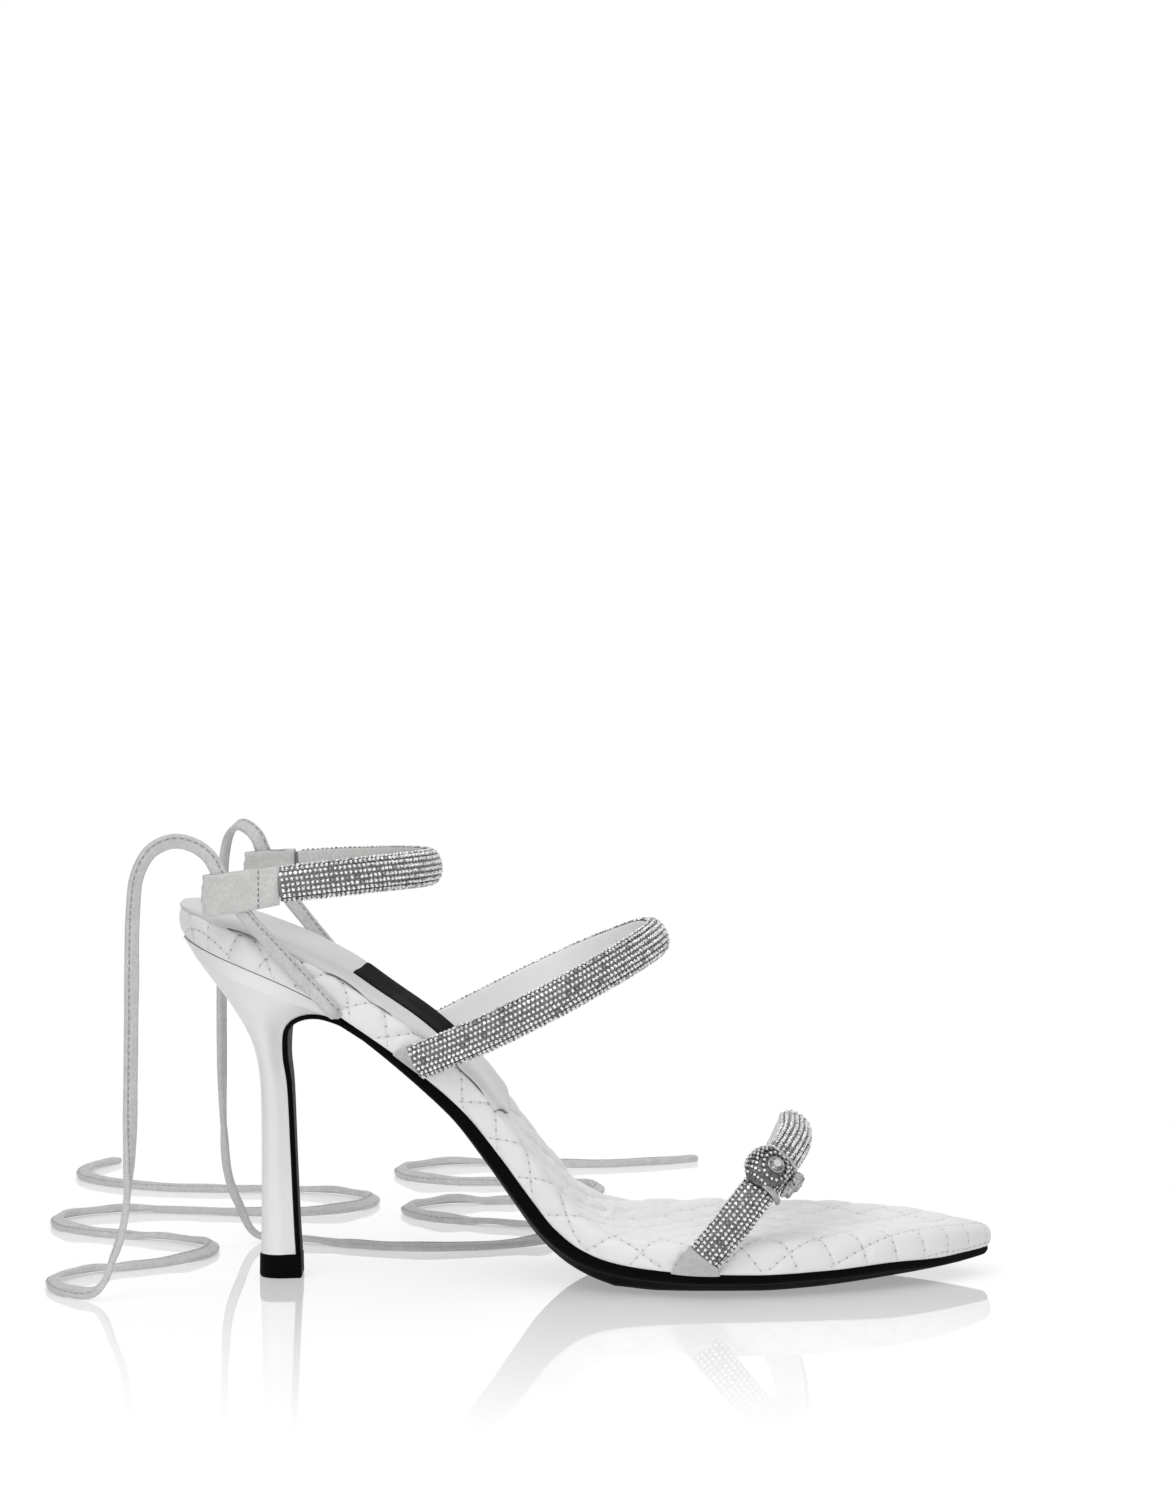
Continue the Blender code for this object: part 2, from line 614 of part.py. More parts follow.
def sleeve(spec):
    """A flat sewn sleeve on the strap's end with a slot the lace runs through."""
    f, b, s = spec["front"], spec["back"], spec["side"]
    rings_out, rings_in = [], []
    for share in (0.0, 0.06, 0.5, 0.94, 1.0):
        pinch = 0.45 if share in (0.0, 1.0) else 0.0
        zf = f["low"] + (f["high"] - f["low"]) * share
        zb = b["low"] + (b["high"] - b["low"]) * share
        a0, a1 = pinch, SLEEVE_THICK - pinch
        xb, xf = b["x"] + pinch, f["x"]

        def wall(u, out):
            x = xb + (xf - xb) * u
            y = b["y"] + (f["y"] - b["y"]) * u
            bow = 1.3 * math.sin(math.pi * u)
            return (x, y + s * (out + bow), zb + (zf - zb) * u)
        mid = SLEEVE_THICK / 2
        outer = [wall(1.0, a0), wall(0.55, a0), wall(0.08, a0), wall(0.0, mid - 1.2),
                 wall(0.0, mid + 1.2), wall(0.08, a1), wall(0.55, a1), wall(1.0, a1)]
        zmid = (zf + zb) / 2
        c = at_height(spec["route"], zmid)
        u = (c.x - xb) / (xf - xb)
        base = wall(u, mid)
        du = SLOT_WIDTH / 2 / (xf - xb) * 1.06
        h = SLOT_THICK / 2
        inner = [wall(u + du, mid - h), wall(u, mid - h), wall(u - du, mid - h),
                 wall(u - du, mid - h * 0.4), wall(u - du, mid + h * 0.4),
                 wall(u - du, mid + h), wall(u, mid + h), wall(u + du, mid + h)]
        rings_out.append(outer)
        rings_in.append(inner)
    bm = bmesh.new()
    vo = [[bm.verts.new(place(p)) for p in r] for r in rings_out]
    vi = [[bm.verts.new(place(p)) for p in r] for r in rings_in]
    n = 8
    for rows in (vo, vi):
        for a, b2 in zip(rows, rows[1:]):
            for k in range(n):
                bm.faces.new((a[k], a[(k + 1) % n], b2[(k + 1) % n], b2[k]))
    for level in (0, -1):
        for k in range(n):
            bm.faces.new((vo[level][k], vo[level][(k + 1) % n],
                          vi[level][(k + 1) % n], vi[level][k]))
    return bm


LACE_TURN = smooth_curve([(88.0, 0.0), (94.0, -0.06), (102.0, -0.24), (110.0, -0.28)])


def ribbon(route, step, width, thick, side):
    """A flat lace along the shoe's side, turning with the sleeve as it rises."""
    pts = rounded_path(route, step)
    rings = []
    for k, p in enumerate(pts):
        t = (pts[min(k + 1, len(pts) - 1)] - pts[max(k - 1, 0)]).normalized()
        out = Vector((LACE_TURN(max(88.0, min(110.0, p.z))), float(side), 0.0)).normalized()
        out = (out - t * out.dot(t)).normalized()
        w = t.cross(out).normalized()
        prof = [(-1.0, -0.45), (-0.86, -1.0), (0.86, -1.0), (1.0, -0.45),
                (1.0, 0.45), (0.86, 1.0), (-0.86, 1.0), (-1.0, 0.45)]
        rings.append([p + w * (a * width / 2) + out * (b * thick / 2) for a, b in prof])
    return loft(rings)


for side_name, spec in LACES.items():
    make_object("lace_sleeve_" + side_name, sleeve(spec), suede)
    make_object("lace_" + side_name,
                ribbon(spec["route"], 3.2, LACE_WIDTH, LACE_THICK, spec["side"]), suede)

# ------------------------------------------------------------------ free ends of the laces
# Wound up a leg in use; untied, each hangs from its sleeve and lies on the floor.
TIE_LENGTH = 580.0
TIE_RADIUS = 1.5
FLOOR = 1.6
TIES = {
    "lateral": [
        (12.8, -30.7, 117.4), (11.0, -30.5, 120.3), (6.9, -30.7, 123.4), (1.2, -31.6, 124.6),
        (-4.6, -33.0, 122.0), (-8.2, -34.2, 115.6), (-9.4, -34.9, 105.0), (-9.8, -35.3, 85.0),
        (-10.2, -35.7, 60.0), (-10.8, -36.2, 36.0), (-12.6, -37.2, 19.0), (-17.2, -38.0, 8.0),
        (-24.4, -35.8, 2.6), (-31.0, -28.0, FLOOR), (-34.0, -13.0, FLOOR), (-27.0, 1.0, FLOOR),
        (-12.0, 10.0, FLOOR), (2.0, 22.0, FLOOR), (5.0, 40.0, FLOOR), (-8.0, 54.0, FLOOR),
        (-27.0, 61.0, FLOOR), (-42.0, 72.0, FLOOR), (-44.0, 90.0, FLOOR),
        (-29.0, 103.0, FLOOR), (-6.0, 102.0, FLOOR), (18.0, 97.0, FLOOR), (40.0, 103.0, FLOOR),
        (48.0, 120.0, FLOOR), (37.0, 136.0, FLOOR), (14.0, 142.0, FLOOR), (-10.0, 143.0, FLOOR),
        (-32.0, 150.0, FLOOR), (-46.0, 165.0, FLOOR), (-47.0, 184.0, FLOOR),
        (-38.0, 203.0, FLOOR)],
    "medial": [
        (20.4, 32.3, 118.0), (19.4, 32.6, 120.4), (17.2, 34.4, 122.6), (13.6, 38.6, 123.6),
        (10.4, 42.6, 120.4), (8.8, 44.8, 114.0), (8.2, 45.6, 104.0), (7.8, 46.0, 85.0),
        (7.6, 46.4, 60.0), (8.0, 47.0, 36.0), (9.6, 48.2, 19.0), (14.6, 50.6, 8.0),
        (22.6, 52.2, 2.6), (33.0, 50.0, FLOOR), (49.0, 41.5, FLOOR), (67.0, 37.0, FLOOR),
        (86.0, 41.0, FLOOR), (103.0, 51.0, FLOOR), (104.0, 69.0, FLOOR), (88.0, 80.0, FLOOR),
        (68.0, 87.0, FLOOR), (59.0, 104.0, FLOOR), (71.0, 119.0, FLOOR), (92.0, 119.0, FLOOR),
        (111.0, 125.0, FLOOR), (117.0, 143.0, FLOOR), (102.0, 156.0, FLOOR),
        (80.0, 155.0, FLOOR), (60.0, 161.0, FLOOR), (54.0, 179.0, FLOOR), (67.0, 194.0, FLOOR),
        (88.0, 195.0, FLOOR), (108.0, 190.0, FLOOR), (130.0, 194.0, FLOOR),
        (151.0, 205.0, FLOOR)],
}
TIE_STEP = 8.2


def tie(name, route):
    fine = trimmed(rounded_path(route, 1.0), TIE_LENGTH)
    pts = [fine[0]]
    run = 0.0
    for a, b in zip(fine, fine[1:]):
        run += (b - a).length
        if run >= TIE_STEP:
            pts.append(b)
            run = 0.0
    if (pts[-1] - fine[-1]).length < TIE_STEP / 2:
        pts[-1] = fine[-1]
    else:
        pts.append(fine[-1])
    curve = bpy.data.curves.new(name, "CURVE")
    curve.dimensions = "3D"
    curve.bevel_depth = TIE_RADIUS * MM
    curve.bevel_resolution = 2
    curve.use_fill_caps = True
    spline = curve.splines.new("POLY")
    spline.points.add(len(pts) - 1)
    for k, p in enumerate(pts):
        spline.points[k].co = (*place(p), 1.0)
    curve.materials.append(suede)
    ob = bpy.data.objects.new(name, curve)
    bpy.context.scene.collection.objects.link(ob)
    return ob


for side_name, route in TIES.items():
    tie("lace_end_" + side_name, route)

# ------------------------------------------------------------------ strap ornament
metal = material("ornament_metal", (0.55, 0.55, 0.55), 0.2, 1.0)
ORNAMENT_AT = 0.292       # share of the toe strap's length from its outer end
ORNAMENT_LONG = 5.6       # half-length along the strap
ORNAMENT_WRAP = 6.4       # half-width around the crown
ORNAMENT_HIGH = 3.0


def band_surface(frames, s, arc, lift):
    """A point on the strap's padded face: s along, arc around the crown, both in mm."""
    k = 0
    total = 0.0
    while k < len(frames) - 2 and total + (frames[k + 1][0] - frames[k][0]).length < s:
        total += (frames[k + 1][0] - frames[k][0]).length
        k += 1
    seg = (frames[k + 1][0] - frames[k][0]).length
    f = (s - total) / seg
    p = frames[k][0].lerp(frames[k + 1][0], f)
    w = frames[k][2].lerp(frames[k + 1][2], f).normalized()
    out = frames[k][3].lerp(frames[k + 1][3], f).normalized()
    r_w, r_h = BAND_WIDTH / 2 + lift, BAND_HEIGHT + lift
    ang = max(-1.45, min(1.45, arc / (BAND_WIDTH / 2 * 0.95)))
    c, sn = math.cos(ang), math.sin(ang)
    a = math.copysign(abs(sn) ** 0.9, sn) * r_w
    b = abs(c) ** 0.75 * r_h
    return p + w * a + out * b


def ornament():
    frames = band_frames(TOE_STRAP, TOE_ACROSS, 1.0)
    length = sum((b[0] - a[0]).length for a, b in zip(frames, frames[1:]))
    s0 = length * ORNAMENT_AT
    rings_low, rings_high = [], []
    spokes, shells = 16, (1.0, 0.93, 0.66, 0.34)
    bm = bmesh.new()
    low, high = [], []
    for r in shells:
        a, b = [], []
        for k in range(spokes):
            ang = 2 * math.pi * k / spokes
            s = s0 + r * ORNAMENT_LONG * math.cos(ang)
            arc = r * ORNAMENT_WRAP * math.sin(ang)
            rise = ORNAMENT_HIGH * (1 - r ** 2.6) ** 0.7 if r < 1 else 0.9
            rise = max(rise, 0.9)
            a.append(bm.verts.new(place(band_surface(frames, s, arc, 0.45))))
            b.append(bm.verts.new(place(band_surface(frames, s, arc, 0.45 + rise))))
        low.append(a)
        high.append(b)
    for group in (low, high):
        for a, b in zip(group, group[1:]):
            for k in range(spokes):
                bm.faces.new((a[k], a[(k + 1) % spokes], b[(k + 1) % spokes], b[k]))
        crown = 0.45 if group is low else 0.45 + ORNAMENT_HIGH
        tip = bm.verts.new(place(band_surface(frames, s0, 0.0, crown)))
        for k in range(spokes):
            bm.faces.new((group[-1][k], group[-1][(k + 1) % spokes], tip))
    for k in range(spokes):
        bm.faces.new((low[0][k], low[0][(k + 1) % spokes],
                      high[0][(k + 1) % spokes], high[0][k]))
    return bm


make_object("strap_ornament", ornament(), metal)
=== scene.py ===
# Lace-up sandal, right foot: the looks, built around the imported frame.
# Sizes are in millimetres, X from the heel's back to the tip, Y from the outer to the inner
# side, Z up from the floor, until to_m() puts them in the frame in metres.
import bpy
import bmesh
import math
import numpy as np
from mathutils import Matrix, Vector
from mathutils.bvhtree import BVHTree


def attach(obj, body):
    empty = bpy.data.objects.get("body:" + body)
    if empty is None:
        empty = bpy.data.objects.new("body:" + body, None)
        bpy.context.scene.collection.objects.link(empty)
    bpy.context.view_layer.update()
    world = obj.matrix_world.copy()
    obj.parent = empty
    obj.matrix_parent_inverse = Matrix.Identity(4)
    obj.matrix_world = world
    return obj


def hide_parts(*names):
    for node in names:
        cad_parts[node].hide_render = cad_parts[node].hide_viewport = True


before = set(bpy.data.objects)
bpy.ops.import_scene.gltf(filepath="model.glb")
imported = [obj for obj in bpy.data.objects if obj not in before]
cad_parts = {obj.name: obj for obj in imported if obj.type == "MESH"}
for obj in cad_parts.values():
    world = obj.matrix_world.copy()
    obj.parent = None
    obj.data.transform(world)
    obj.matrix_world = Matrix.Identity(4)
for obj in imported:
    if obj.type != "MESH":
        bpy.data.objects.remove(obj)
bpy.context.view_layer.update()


MM = 0.001
GAP = 0.3
CENTRE_X = 113.0
CENTRE_Y = -0.5
rng = np.random.default_rng(7)


def to_m(p):
    p = np.asarray(p, float)
    return (p - np.array([CENTRE_X, CENTRE_Y, 0.0])) * MM


# ------------------------------------------------------------------ camera
PHOTO_WIDE, PHOTO_HIGH = 1170.0, 1488.0
FOCAL_PX = 4320.0
cam_data = bpy.data.cameras.new("camera")
cam_data.sensor_fit = "VERTICAL"
cam_data.sensor_height = 36.0
cam_data.sensor_width = 36.0 * PHOTO_WIDE / PHOTO_HIGH
cam_data.lens = FOCAL_PX * 36.0 / PHOTO_HIGH
cam_data.clip_start = 0.05
cam_data.clip_end = 60.0
camera = bpy.data.objects.new("camera", cam_data)
bpy.context.scene.collection.objects.link(camera)
camera.location = to_m((113.056, -1200.0, 221.65))
camera.rotation_euler = (math.radians(90.0 - 3.4574), 0.0, 0.0)
bpy.context.scene.camera = camera


# ------------------------------------------------------------------ small maths
def pchip(rows):
    """Monotone cubic through (x, value) rows; reads numbers and arrays."""
    xs = np.array([r[0] for r in rows], float)
    ys = np.array([r[1] for r in rows], float)
    h = np.diff(xs)
    d = np.diff(ys) / h
    m = np.zeros(len(xs))
    m[0], m[-1] = d[0], d[-1]
    for i in range(1, len(xs) - 1):
        if d[i - 1] * d[i] > 0:
            w1 = 2 * h[i] + h[i - 1]
            w2 = h[i] + 2 * h[i - 1]
            m[i] = (w1 + w2) / (w1 / d[i - 1] + w2 / d[i])

    def f(x):
        x = np.asarray(x, float)
        i = np.clip(np.searchsorted(xs, x, side="right") - 1, 0, len(xs) - 2)
        t = (x - xs[i]) / h[i]
        mid = ((2 * t**3 - 3 * t**2 + 1) * ys[i] + (t**3 - 2 * t**2 + t) * h[i] * m[i]
               + (-2 * t**3 + 3 * t**2) * ys[i + 1] + (t**3 - t**2) * h[i] * m[i + 1])
        low = ys[0] + m[0] * (x - xs[0])
        high = ys[-1] + m[-1] * (x - xs[-1])
        return np.where(x <= xs[0], low, np.where(x >= xs[-1], high, mid))
    return f


def rounded_path(points, step):
    """Even points on a centripetal Catmull-Rom curve through the route's own points."""
    p = [np.array(q, float) for q in points]
    p = [p[0] * 2 - p[1]] + p + [p[-1] * 2 - p[-2]]
    dense = []
    for i in range(1, len(p) - 2):
        a, b, c, d = p[i - 1], p[i], p[i + 1], p[i + 2]
        ta = max(np.linalg.norm(b - a), 1e-6) ** 0.5
        tb = max(np.linalg.norm(c - b), 1e-6) ** 0.5
        tc = max(np.linalg.norm(d - c), 1e-6) ** 0.5
        m1 = ((b - a) / ta - (c - a) / (ta + tb) + (c - b) / tb) * tb
        m2 = ((c - b) / tb - (d - b) / (tb + tc) + (d - c) / tc) * tb
        t = (np.arange(24) / 24.0)[:, None]
        dense.append(b * (2 * t**3 - 3 * t**2 + 1) + m1 * (t**3 - 2 * t**2 + t)
                     + c * (-2 * t**3 + 3 * t**2) + m2 * (t**3 - t**2))
    dense = np.concatenate(dense + [p[-2][None]])
    s = np.concatenate([[0.0], np.cumsum(np.linalg.norm(np.diff(dense, axis=0), axis=1))])
    n = max(2, int(round(s[-1] / step)))
    w = np.linspace(0.0, s[-1], n + 1)
    return np.stack([np.interp(w, s, dense[:, k]) for k in range(3)], 1)


def run_length(points):
    return np.concatenate([[0.0], np.cumsum(np.linalg.norm(np.diff(points, axis=0), axis=1))])


def unit(v):
    v = np.asarray(v, float)
    return v / np.maximum(np.linalg.norm(v, axis=-1, keepdims=True), 1e-12)


def smooth01(t):
    t = np.clip(t, 0.0, 1.0)
    return t * t * (3 - 2 * t)


def tangents(points):
    t = np.empty_like(points)
    t[1:-1] = points[2:] - points[:-2]
    t[0], t[-1] = points[1] - points[0], points[-1] - points[-2]
    return unit(t)


# ------------------------------------------------------------------ mesh building
class Build:
    """Gathers patches into one mesh, with a material number per patch."""

    def __init__(self):
        self.v, self.f, self.m, self.uv, self.count = [], [], [], [], 0
        self.shade = []

    def add(self, verts, faces, mat=0, uv=None, shade=None):
        verts = np.asarray(verts, float).reshape(-1, 3)
        faces = [tuple(int(k) + self.count for k in f) for f in faces]
        self.v.append(verts)
        self.f.extend(faces)
        self.m.extend([mat] * len(faces))
        self.uv.append(np.zeros((len(verts), 2)) if uv is None
                       else np.asarray(uv, float).reshape(-1, 2))
        self.shade.extend([0.5] * len(faces) if shade is None else list(shade))
        self.count += len(verts)

    def grid(self, pts, wrap=False, mat=0, uv=None, caps=False):
        """pts is rows x columns x 3; wrap closes the columns, caps the two end rows."""
        pts = np.asarray(pts, float)
        rows, cols = pts.shape[:2]
        faces = []
        last = cols if wrap else cols - 1
        for r in range(rows - 1):
            a, b = r * cols, (r + 1) * cols
            for c in range(last):
                d = (c + 1) % cols
                faces.append((a + c, a + d, b + d, b + c))
        if caps:
            faces.append(tuple(range(cols))[::-1])
            faces.append(tuple(range((rows - 1) * cols, rows * cols)))
        self.add(pts.reshape(-1, 3), faces, mat, uv)

    def make(self, name, mats, angle=None, closed=True, flat=False):
        mesh = bpy.data.meshes.new(name)
        verts = np.concatenate(self.v)
        mesh.from_pydata(to_m(verts).tolist(), [], self.f)
        uv = np.concatenate(self.uv)
        if np.abs(uv).max() > 0:
            layer = mesh.uv_layers.new(name="sheet")
            loops = np.empty(len(mesh.loops), np.int32)
            mesh.loops.foreach_get("vertex_index", loops)
            layer.data.foreach_set("uv", uv[loops].astype(np.float32).ravel())
        mesh.polygons.foreach_set("material_index", np.array(self.m, np.int32))
        # per-face brightness; on the stones these are their painted glints and painted shade
        if len(set(self.shade)) > 1:
            at = mesh.attributes.new("painted_glint", "FLOAT", "FACE")
            at.data.foreach_set("value", np.array(self.shade, np.float32))
        for mat in mats:
            mesh.materials.append(mat)
        if closed:
            bm = bmesh.new()
            bm.from_mesh(mesh)
            bmesh.ops.recalc_face_normals(bm, faces=bm.faces)
            bm.to_mesh(mesh)
            bm.free()
        mesh.update()
        if flat:
            mesh.shade_flat()
        else:
            mesh.shade_smooth()
            if angle is not None:
                mesh.set_sharp_from_angle(angle=math.radians(angle))
        ob = bpy.data.objects.new(name, mesh)
        bpy.context.scene.collection.objects.link(ob)
        return ob


def piece(ob, replaces=()):
    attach(ob, "root")
    if replaces:
        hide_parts(*replaces)
    return ob


# ------------------------------------------------------------------ materials
class Shader:
    """Short names for the nodes of one material."""

    def __init__(self, name):
        self.mat = bpy.data.materials.new(name)
        self.mat.use_nodes = True
        self.tree = self.mat.node_tree
        self.tree.nodes.clear()
        self.out = self.tree.nodes.new("ShaderNodeOutputMaterial")
        self.bsdf = self.tree.nodes.new("ShaderNodeBsdfPrincipled")
        self.tree.links.new(self.bsdf.outputs[0], self.out.inputs[0])
        self._mm = None

    def put(self, value, socket):
        if isinstance(value, bpy.types.NodeSocket):
            self.tree.links.new(value, socket)
        else:
            socket.default_value = value

    def mm(self):
        """Object coordinates in millimetres."""
        if self._mm is None:
            c = self.tree.nodes.new("ShaderNodeTexCoord")
            v = self.tree.nodes.new("ShaderNodeVectorMath")
            v.operation = "SCALE"
            v.inputs["Scale"].default_value = 1000.0
            self.tree.links.new(c.outputs["Object"], v.inputs[0])
            self._mm = v.outputs[0]
        return self._mm

    def stretch(self, vec, scale):
        v = self.tree.nodes.new("ShaderNodeVectorMath")
        v.operation = "MULTIPLY"
        self.put(vec, v.inputs[0])
        v.inputs[1].default_value = scale
        return v.outputs[0]

    def sheet(self):
        u = self.tree.nodes.new("ShaderNodeUVMap")
        u.uv_map = "sheet"
        s = self.tree.nodes.new("ShaderNodeSeparateXYZ")
        self.tree.links.new(u.outputs[0], s.inputs[0])
        return s.outputs[0], s.outputs[1], u.outputs[0]

    def noise(self, vec, scale, detail=2.0, rough=0.5, distort=0.0):
        n = self.tree.nodes.new("ShaderNodeTexNoise")
        self.put(vec, n.inputs["Vector"])
        n.inputs["Scale"].default_value = scale
        n.inputs["Detail"].default_value = detail
        n.inputs["Roughness"].default_value = rough
        n.inputs["Distortion"].default_value = distort
        return n.outputs[0]

    def voronoi(self, vec, scale, feature="F1"):
        n = self.tree.nodes.new("ShaderNodeTexVoronoi")
        n.feature = feature
        self.put(vec, n.inputs["Vector"])
        n.inputs["Scale"].default_value = scale
        return n.outputs["Distance"]

    def math(self, op, a, b=0.0, c=0.0, clamp=False):
        n = self.tree.nodes.new("ShaderNodeMath")
        n.operation = op
        n.use_clamp = clamp
        self.put(a, n.inputs[0])
        self.put(b, n.inputs[1])
        self.put(c, n.inputs[2])
        return n.outputs[0]

    def span(self, value, a, b, lo=0.0, hi=1.0, smooth=True):
        n = self.tree.nodes.new("ShaderNodeMapRange")
        n.interpolation_type = "SMOOTHSTEP" if smooth else "LINEAR"
        self.put(value, n.inputs["Value"])
        n.inputs["From Min"].default_value = a
        n.inputs["From Max"].default_value = b
        n.inputs["To Min"].default_value = lo
        n.inputs["To Max"].default_value = hi
        return n.outputs["Result"]

    def mix(self, factor, a, b):
        n = self.tree.nodes.new("ShaderNodeMix")
        n.data_type = "RGBA"
        self.put(factor, n.inputs["Factor"])
        self.put(a if isinstance(a, bpy.types.NodeSocket) else (*a, 1.0), n.inputs["A"])
        self.put(b if isinstance(b, bpy.types.NodeSocket) else (*b, 1.0), n.inputs["B"])
        return n.outputs["Result"]

    def bump(self, height, distance, strength=1.0, normal=None):
        """distance in millimetres."""
        n = self.tree.nodes.new("ShaderNodeBump")
        n.inputs["Strength"].default_value = strength
        n.inputs["Distance"].default_value = distance * MM
        self.put(height, n.inputs["Height"])
        if normal is not None:
            self.put(normal, n.inputs["Normal"])
        return n.outputs[0]

    def attribute(self, name):
        n = self.tree.nodes.new("ShaderNodeAttribute")
        n.attribute_name = name
        return n.outputs["Fac"]

    def set(self, **values):
        names = dict(colour="Base Color", rough="Roughness", metal="Metallic",
                     normal="Normal", coat="Coat Weight", coat_rough="Coat Roughness",
                     sheen="Sheen Weight", sheen_rough="Sheen Roughness",
                     sheen_tint="Sheen Tint", specular="Specular IOR Level", ior="IOR",
                     transmission="Transmission Weight", subsurface="Subsurface Weight",
                     subsurface_scale="Subsurface Scale", anisotropic="Anisotropic")
        for key, value in values.items():
            if isinstance(value, tuple) and len(value) == 3:
                value = (*value, 1.0)
            self.put(value, self.bsdf.inputs[names[key]])
        return self.mat


QUILT = 13.95             # the diamonds' diagonal along the footbed
QUILT_A = 11.4            # where the two families of quilting lines cross
QUILT_B = 3.65
STITCH = 2.7              # one stitch


def leather(name, quilted, level=0.78):
    """White nappa: fine grain, soft creases, and on the footbed the quilting's thread."""
    s = Shader(name)
    mm = s.mm()
    grain = s.voronoi(mm, 1.9, "SMOOTH_F1")
    pores = s.noise(mm, 4.5, 2.0, 0.6)
    crease = s.noise(s.stretch(mm, (0.10, 0.35, 0.22)), 1.0, 4.0, 0.55, 0.6)
    cloud = s.noise(mm, 0.035, 2.0, 0.5)
    tone = s.mix(s.span(cloud, 0.35, 0.65), (level * 0.975,) * 2 + (level * 0.972,),
                 (level * 1.02,) * 2 + (level * 1.017,))
    rough = s.span(pores, 0.3, 0.7, 0.36, 0.47, False)
    n1 = s.bump(crease, 0.22 if quilted else 0.10, 0.55)
    n2 = s.bump(grain, 0.05, 0.5, n1)
    height = None
    if quilted:
        u, v, _ = s.sheet()
        root = math.sqrt(2.0)
        hole_shadow = None
        for sign, shift in ((1.0, QUILT_A), (-1.0, QUILT_B)):
            across = s.math("MULTIPLY_ADD", v, sign, u)
            across = s.math("DIVIDE", s.math("SUBTRACT", across, shift), QUILT)
            near = s.math("ABSOLUTE", s.math("SUBTRACT", s.math("FRACT",
                          s.math("ADD", across, 0.5)), 0.5))
            near = s.math("MULTIPLY", near, QUILT / root)
            along = s.math("DIVIDE", s.math("MULTIPLY_ADD", v, -sign, u), root * STITCH)
            tick = s.math("MULTIPLY", s.math("ABSOLUTE", s.math("SUBTRACT",
                          s.math("FRACT", along), 0.5)), STITCH)
            apart = s.math("SQRT", s.math("ADD", s.math("POWER", near, 2.0),
                                          s.math("POWER", tick, 2.0)))
            hole = s.span(apart, 0.16, 0.34, 1.0, 0.0)
            thread = s.math("MULTIPLY", s.span(near, 0.10, 0.24, 1.0, 0.0),
                            s.span(tick, 0.30, 0.55, 0.0, 1.0))
            groove = s.span(near, 0.0, 0.45, 1.0, 0.0)
            hole_shadow = hole if hole_shadow is None else s.math("MAXIMUM", hole_shadow, hole)
            rise = s.math("SUBTRACT", s.math("MULTIPLY", thread, 0.9), hole)
            rise = s.math("SUBTRACT", rise, s.math("MULTIPLY", groove, 0.45))
            height = rise if height is None else s.math("ADD", height, rise)
        keep = s.attribute("stitched")
        hole_shadow = s.math("MULTIPLY", hole_shadow, keep)
        height = s.math("MULTIPLY", height, keep)
        # painted shadow: the stitch holes are darkened in the leather's colour
        tone = s.mix(s.math("MULTIPLY", hole_shadow, 0.55), tone, (0.10, 0.10, 0.10))
        n2 = s.bump(height, 0.14, 1.0, n2)
    return s.set(colour=tone, rough=rough, normal=n2, specular=0.42, coat=0.10,
                 coat_rough=0.32)


def suede(name, colour, stitched=None):
    """Brushed nap: soft fibres, mottled by the way they lie; stitched draws a seam
    that many millimetres from the strip's middle."""
    s = Shader(name)
    mm = s.mm()
    fibre = s.noise(s.stretch(mm, (1.0, 1.0, 0.6)), 3.2, 4.0, 0.7)
    nap = s.noise(mm, 0.42, 3.0, 0.6, 0.8)
    fluff = s.noise(mm, 7.5, 2.0, 0.6)
    dull = tuple(c * 0.93 for c in colour)
    bright = tuple(min(1.0, c * 1.05) for c in colour)
    tone = s.mix(s.span(nap, 0.36, 0.64), dull, bright)
    tone = s.mix(s.math("MULTIPLY", s.span(fibre, 0.40, 0.62), 0.5), tone,
                 tuple(c * 0.70 for c in colour))
    n = s.bump(fibre, 0.16, 0.75)
    n = s.bump(fluff, 0.06, 0.5, n)
    if stitched is not None:
        u, v, _ = s.sheet()
        near = s.math("ABSOLUTE", s.math("SUBTRACT", v, stitched))
        tick = s.math("ABSOLUTE", s.math("SUBTRACT",
                      s.math("FRACT", s.math("DIVIDE", u, 1.9)), 0.5))
        dash = s.math("MULTIPLY", s.span(near, 0.10, 0.24, 1.0, 0.0),
                      s.span(tick, 0.26, 0.34, 1.0, 0.0))
        groove = s.span(near, 0.05, 0.5, 1.0, 0.0)
        tone = s.mix(s.math("MULTIPLY", dash, 0.75), tone, tuple(c * 0.30 for c in colour))
        n = s.bump(s.math("SUBTRACT", s.math("MULTIPLY", dash, 0.6), groove), 0.22, 0.9, n)
    return s.set(colour=tone, rough=0.93, normal=n, specular=0.12, sheen=0.35,
                 sheen_rough=0.45)


def black_rubber(name, gloss):
    s = Shader(name)
    mm = s.mm()
    scuff = s.noise(s.stretch(mm, (0.12, 0.9, 0.5)), 1.4, 4.0, 0.6)
    speck = s.noise(mm, 2.6, 3.0, 0.6)
    tone = s.mix(s.span(speck, 0.52, 0.72), (0.002, 0.002, 0.0022), (0.006, 0.006, 0.0063))
    rough = s.span(scuff, 0.3, 0.7, gloss - 0.07, gloss + 0.10, False)
    n = s.bump(speck, 0.04, 0.4, s.bump(scuff, 0.06, 0.3))
    return s.set(colour=tone, rough=rough, normal=n, specular=0.03)


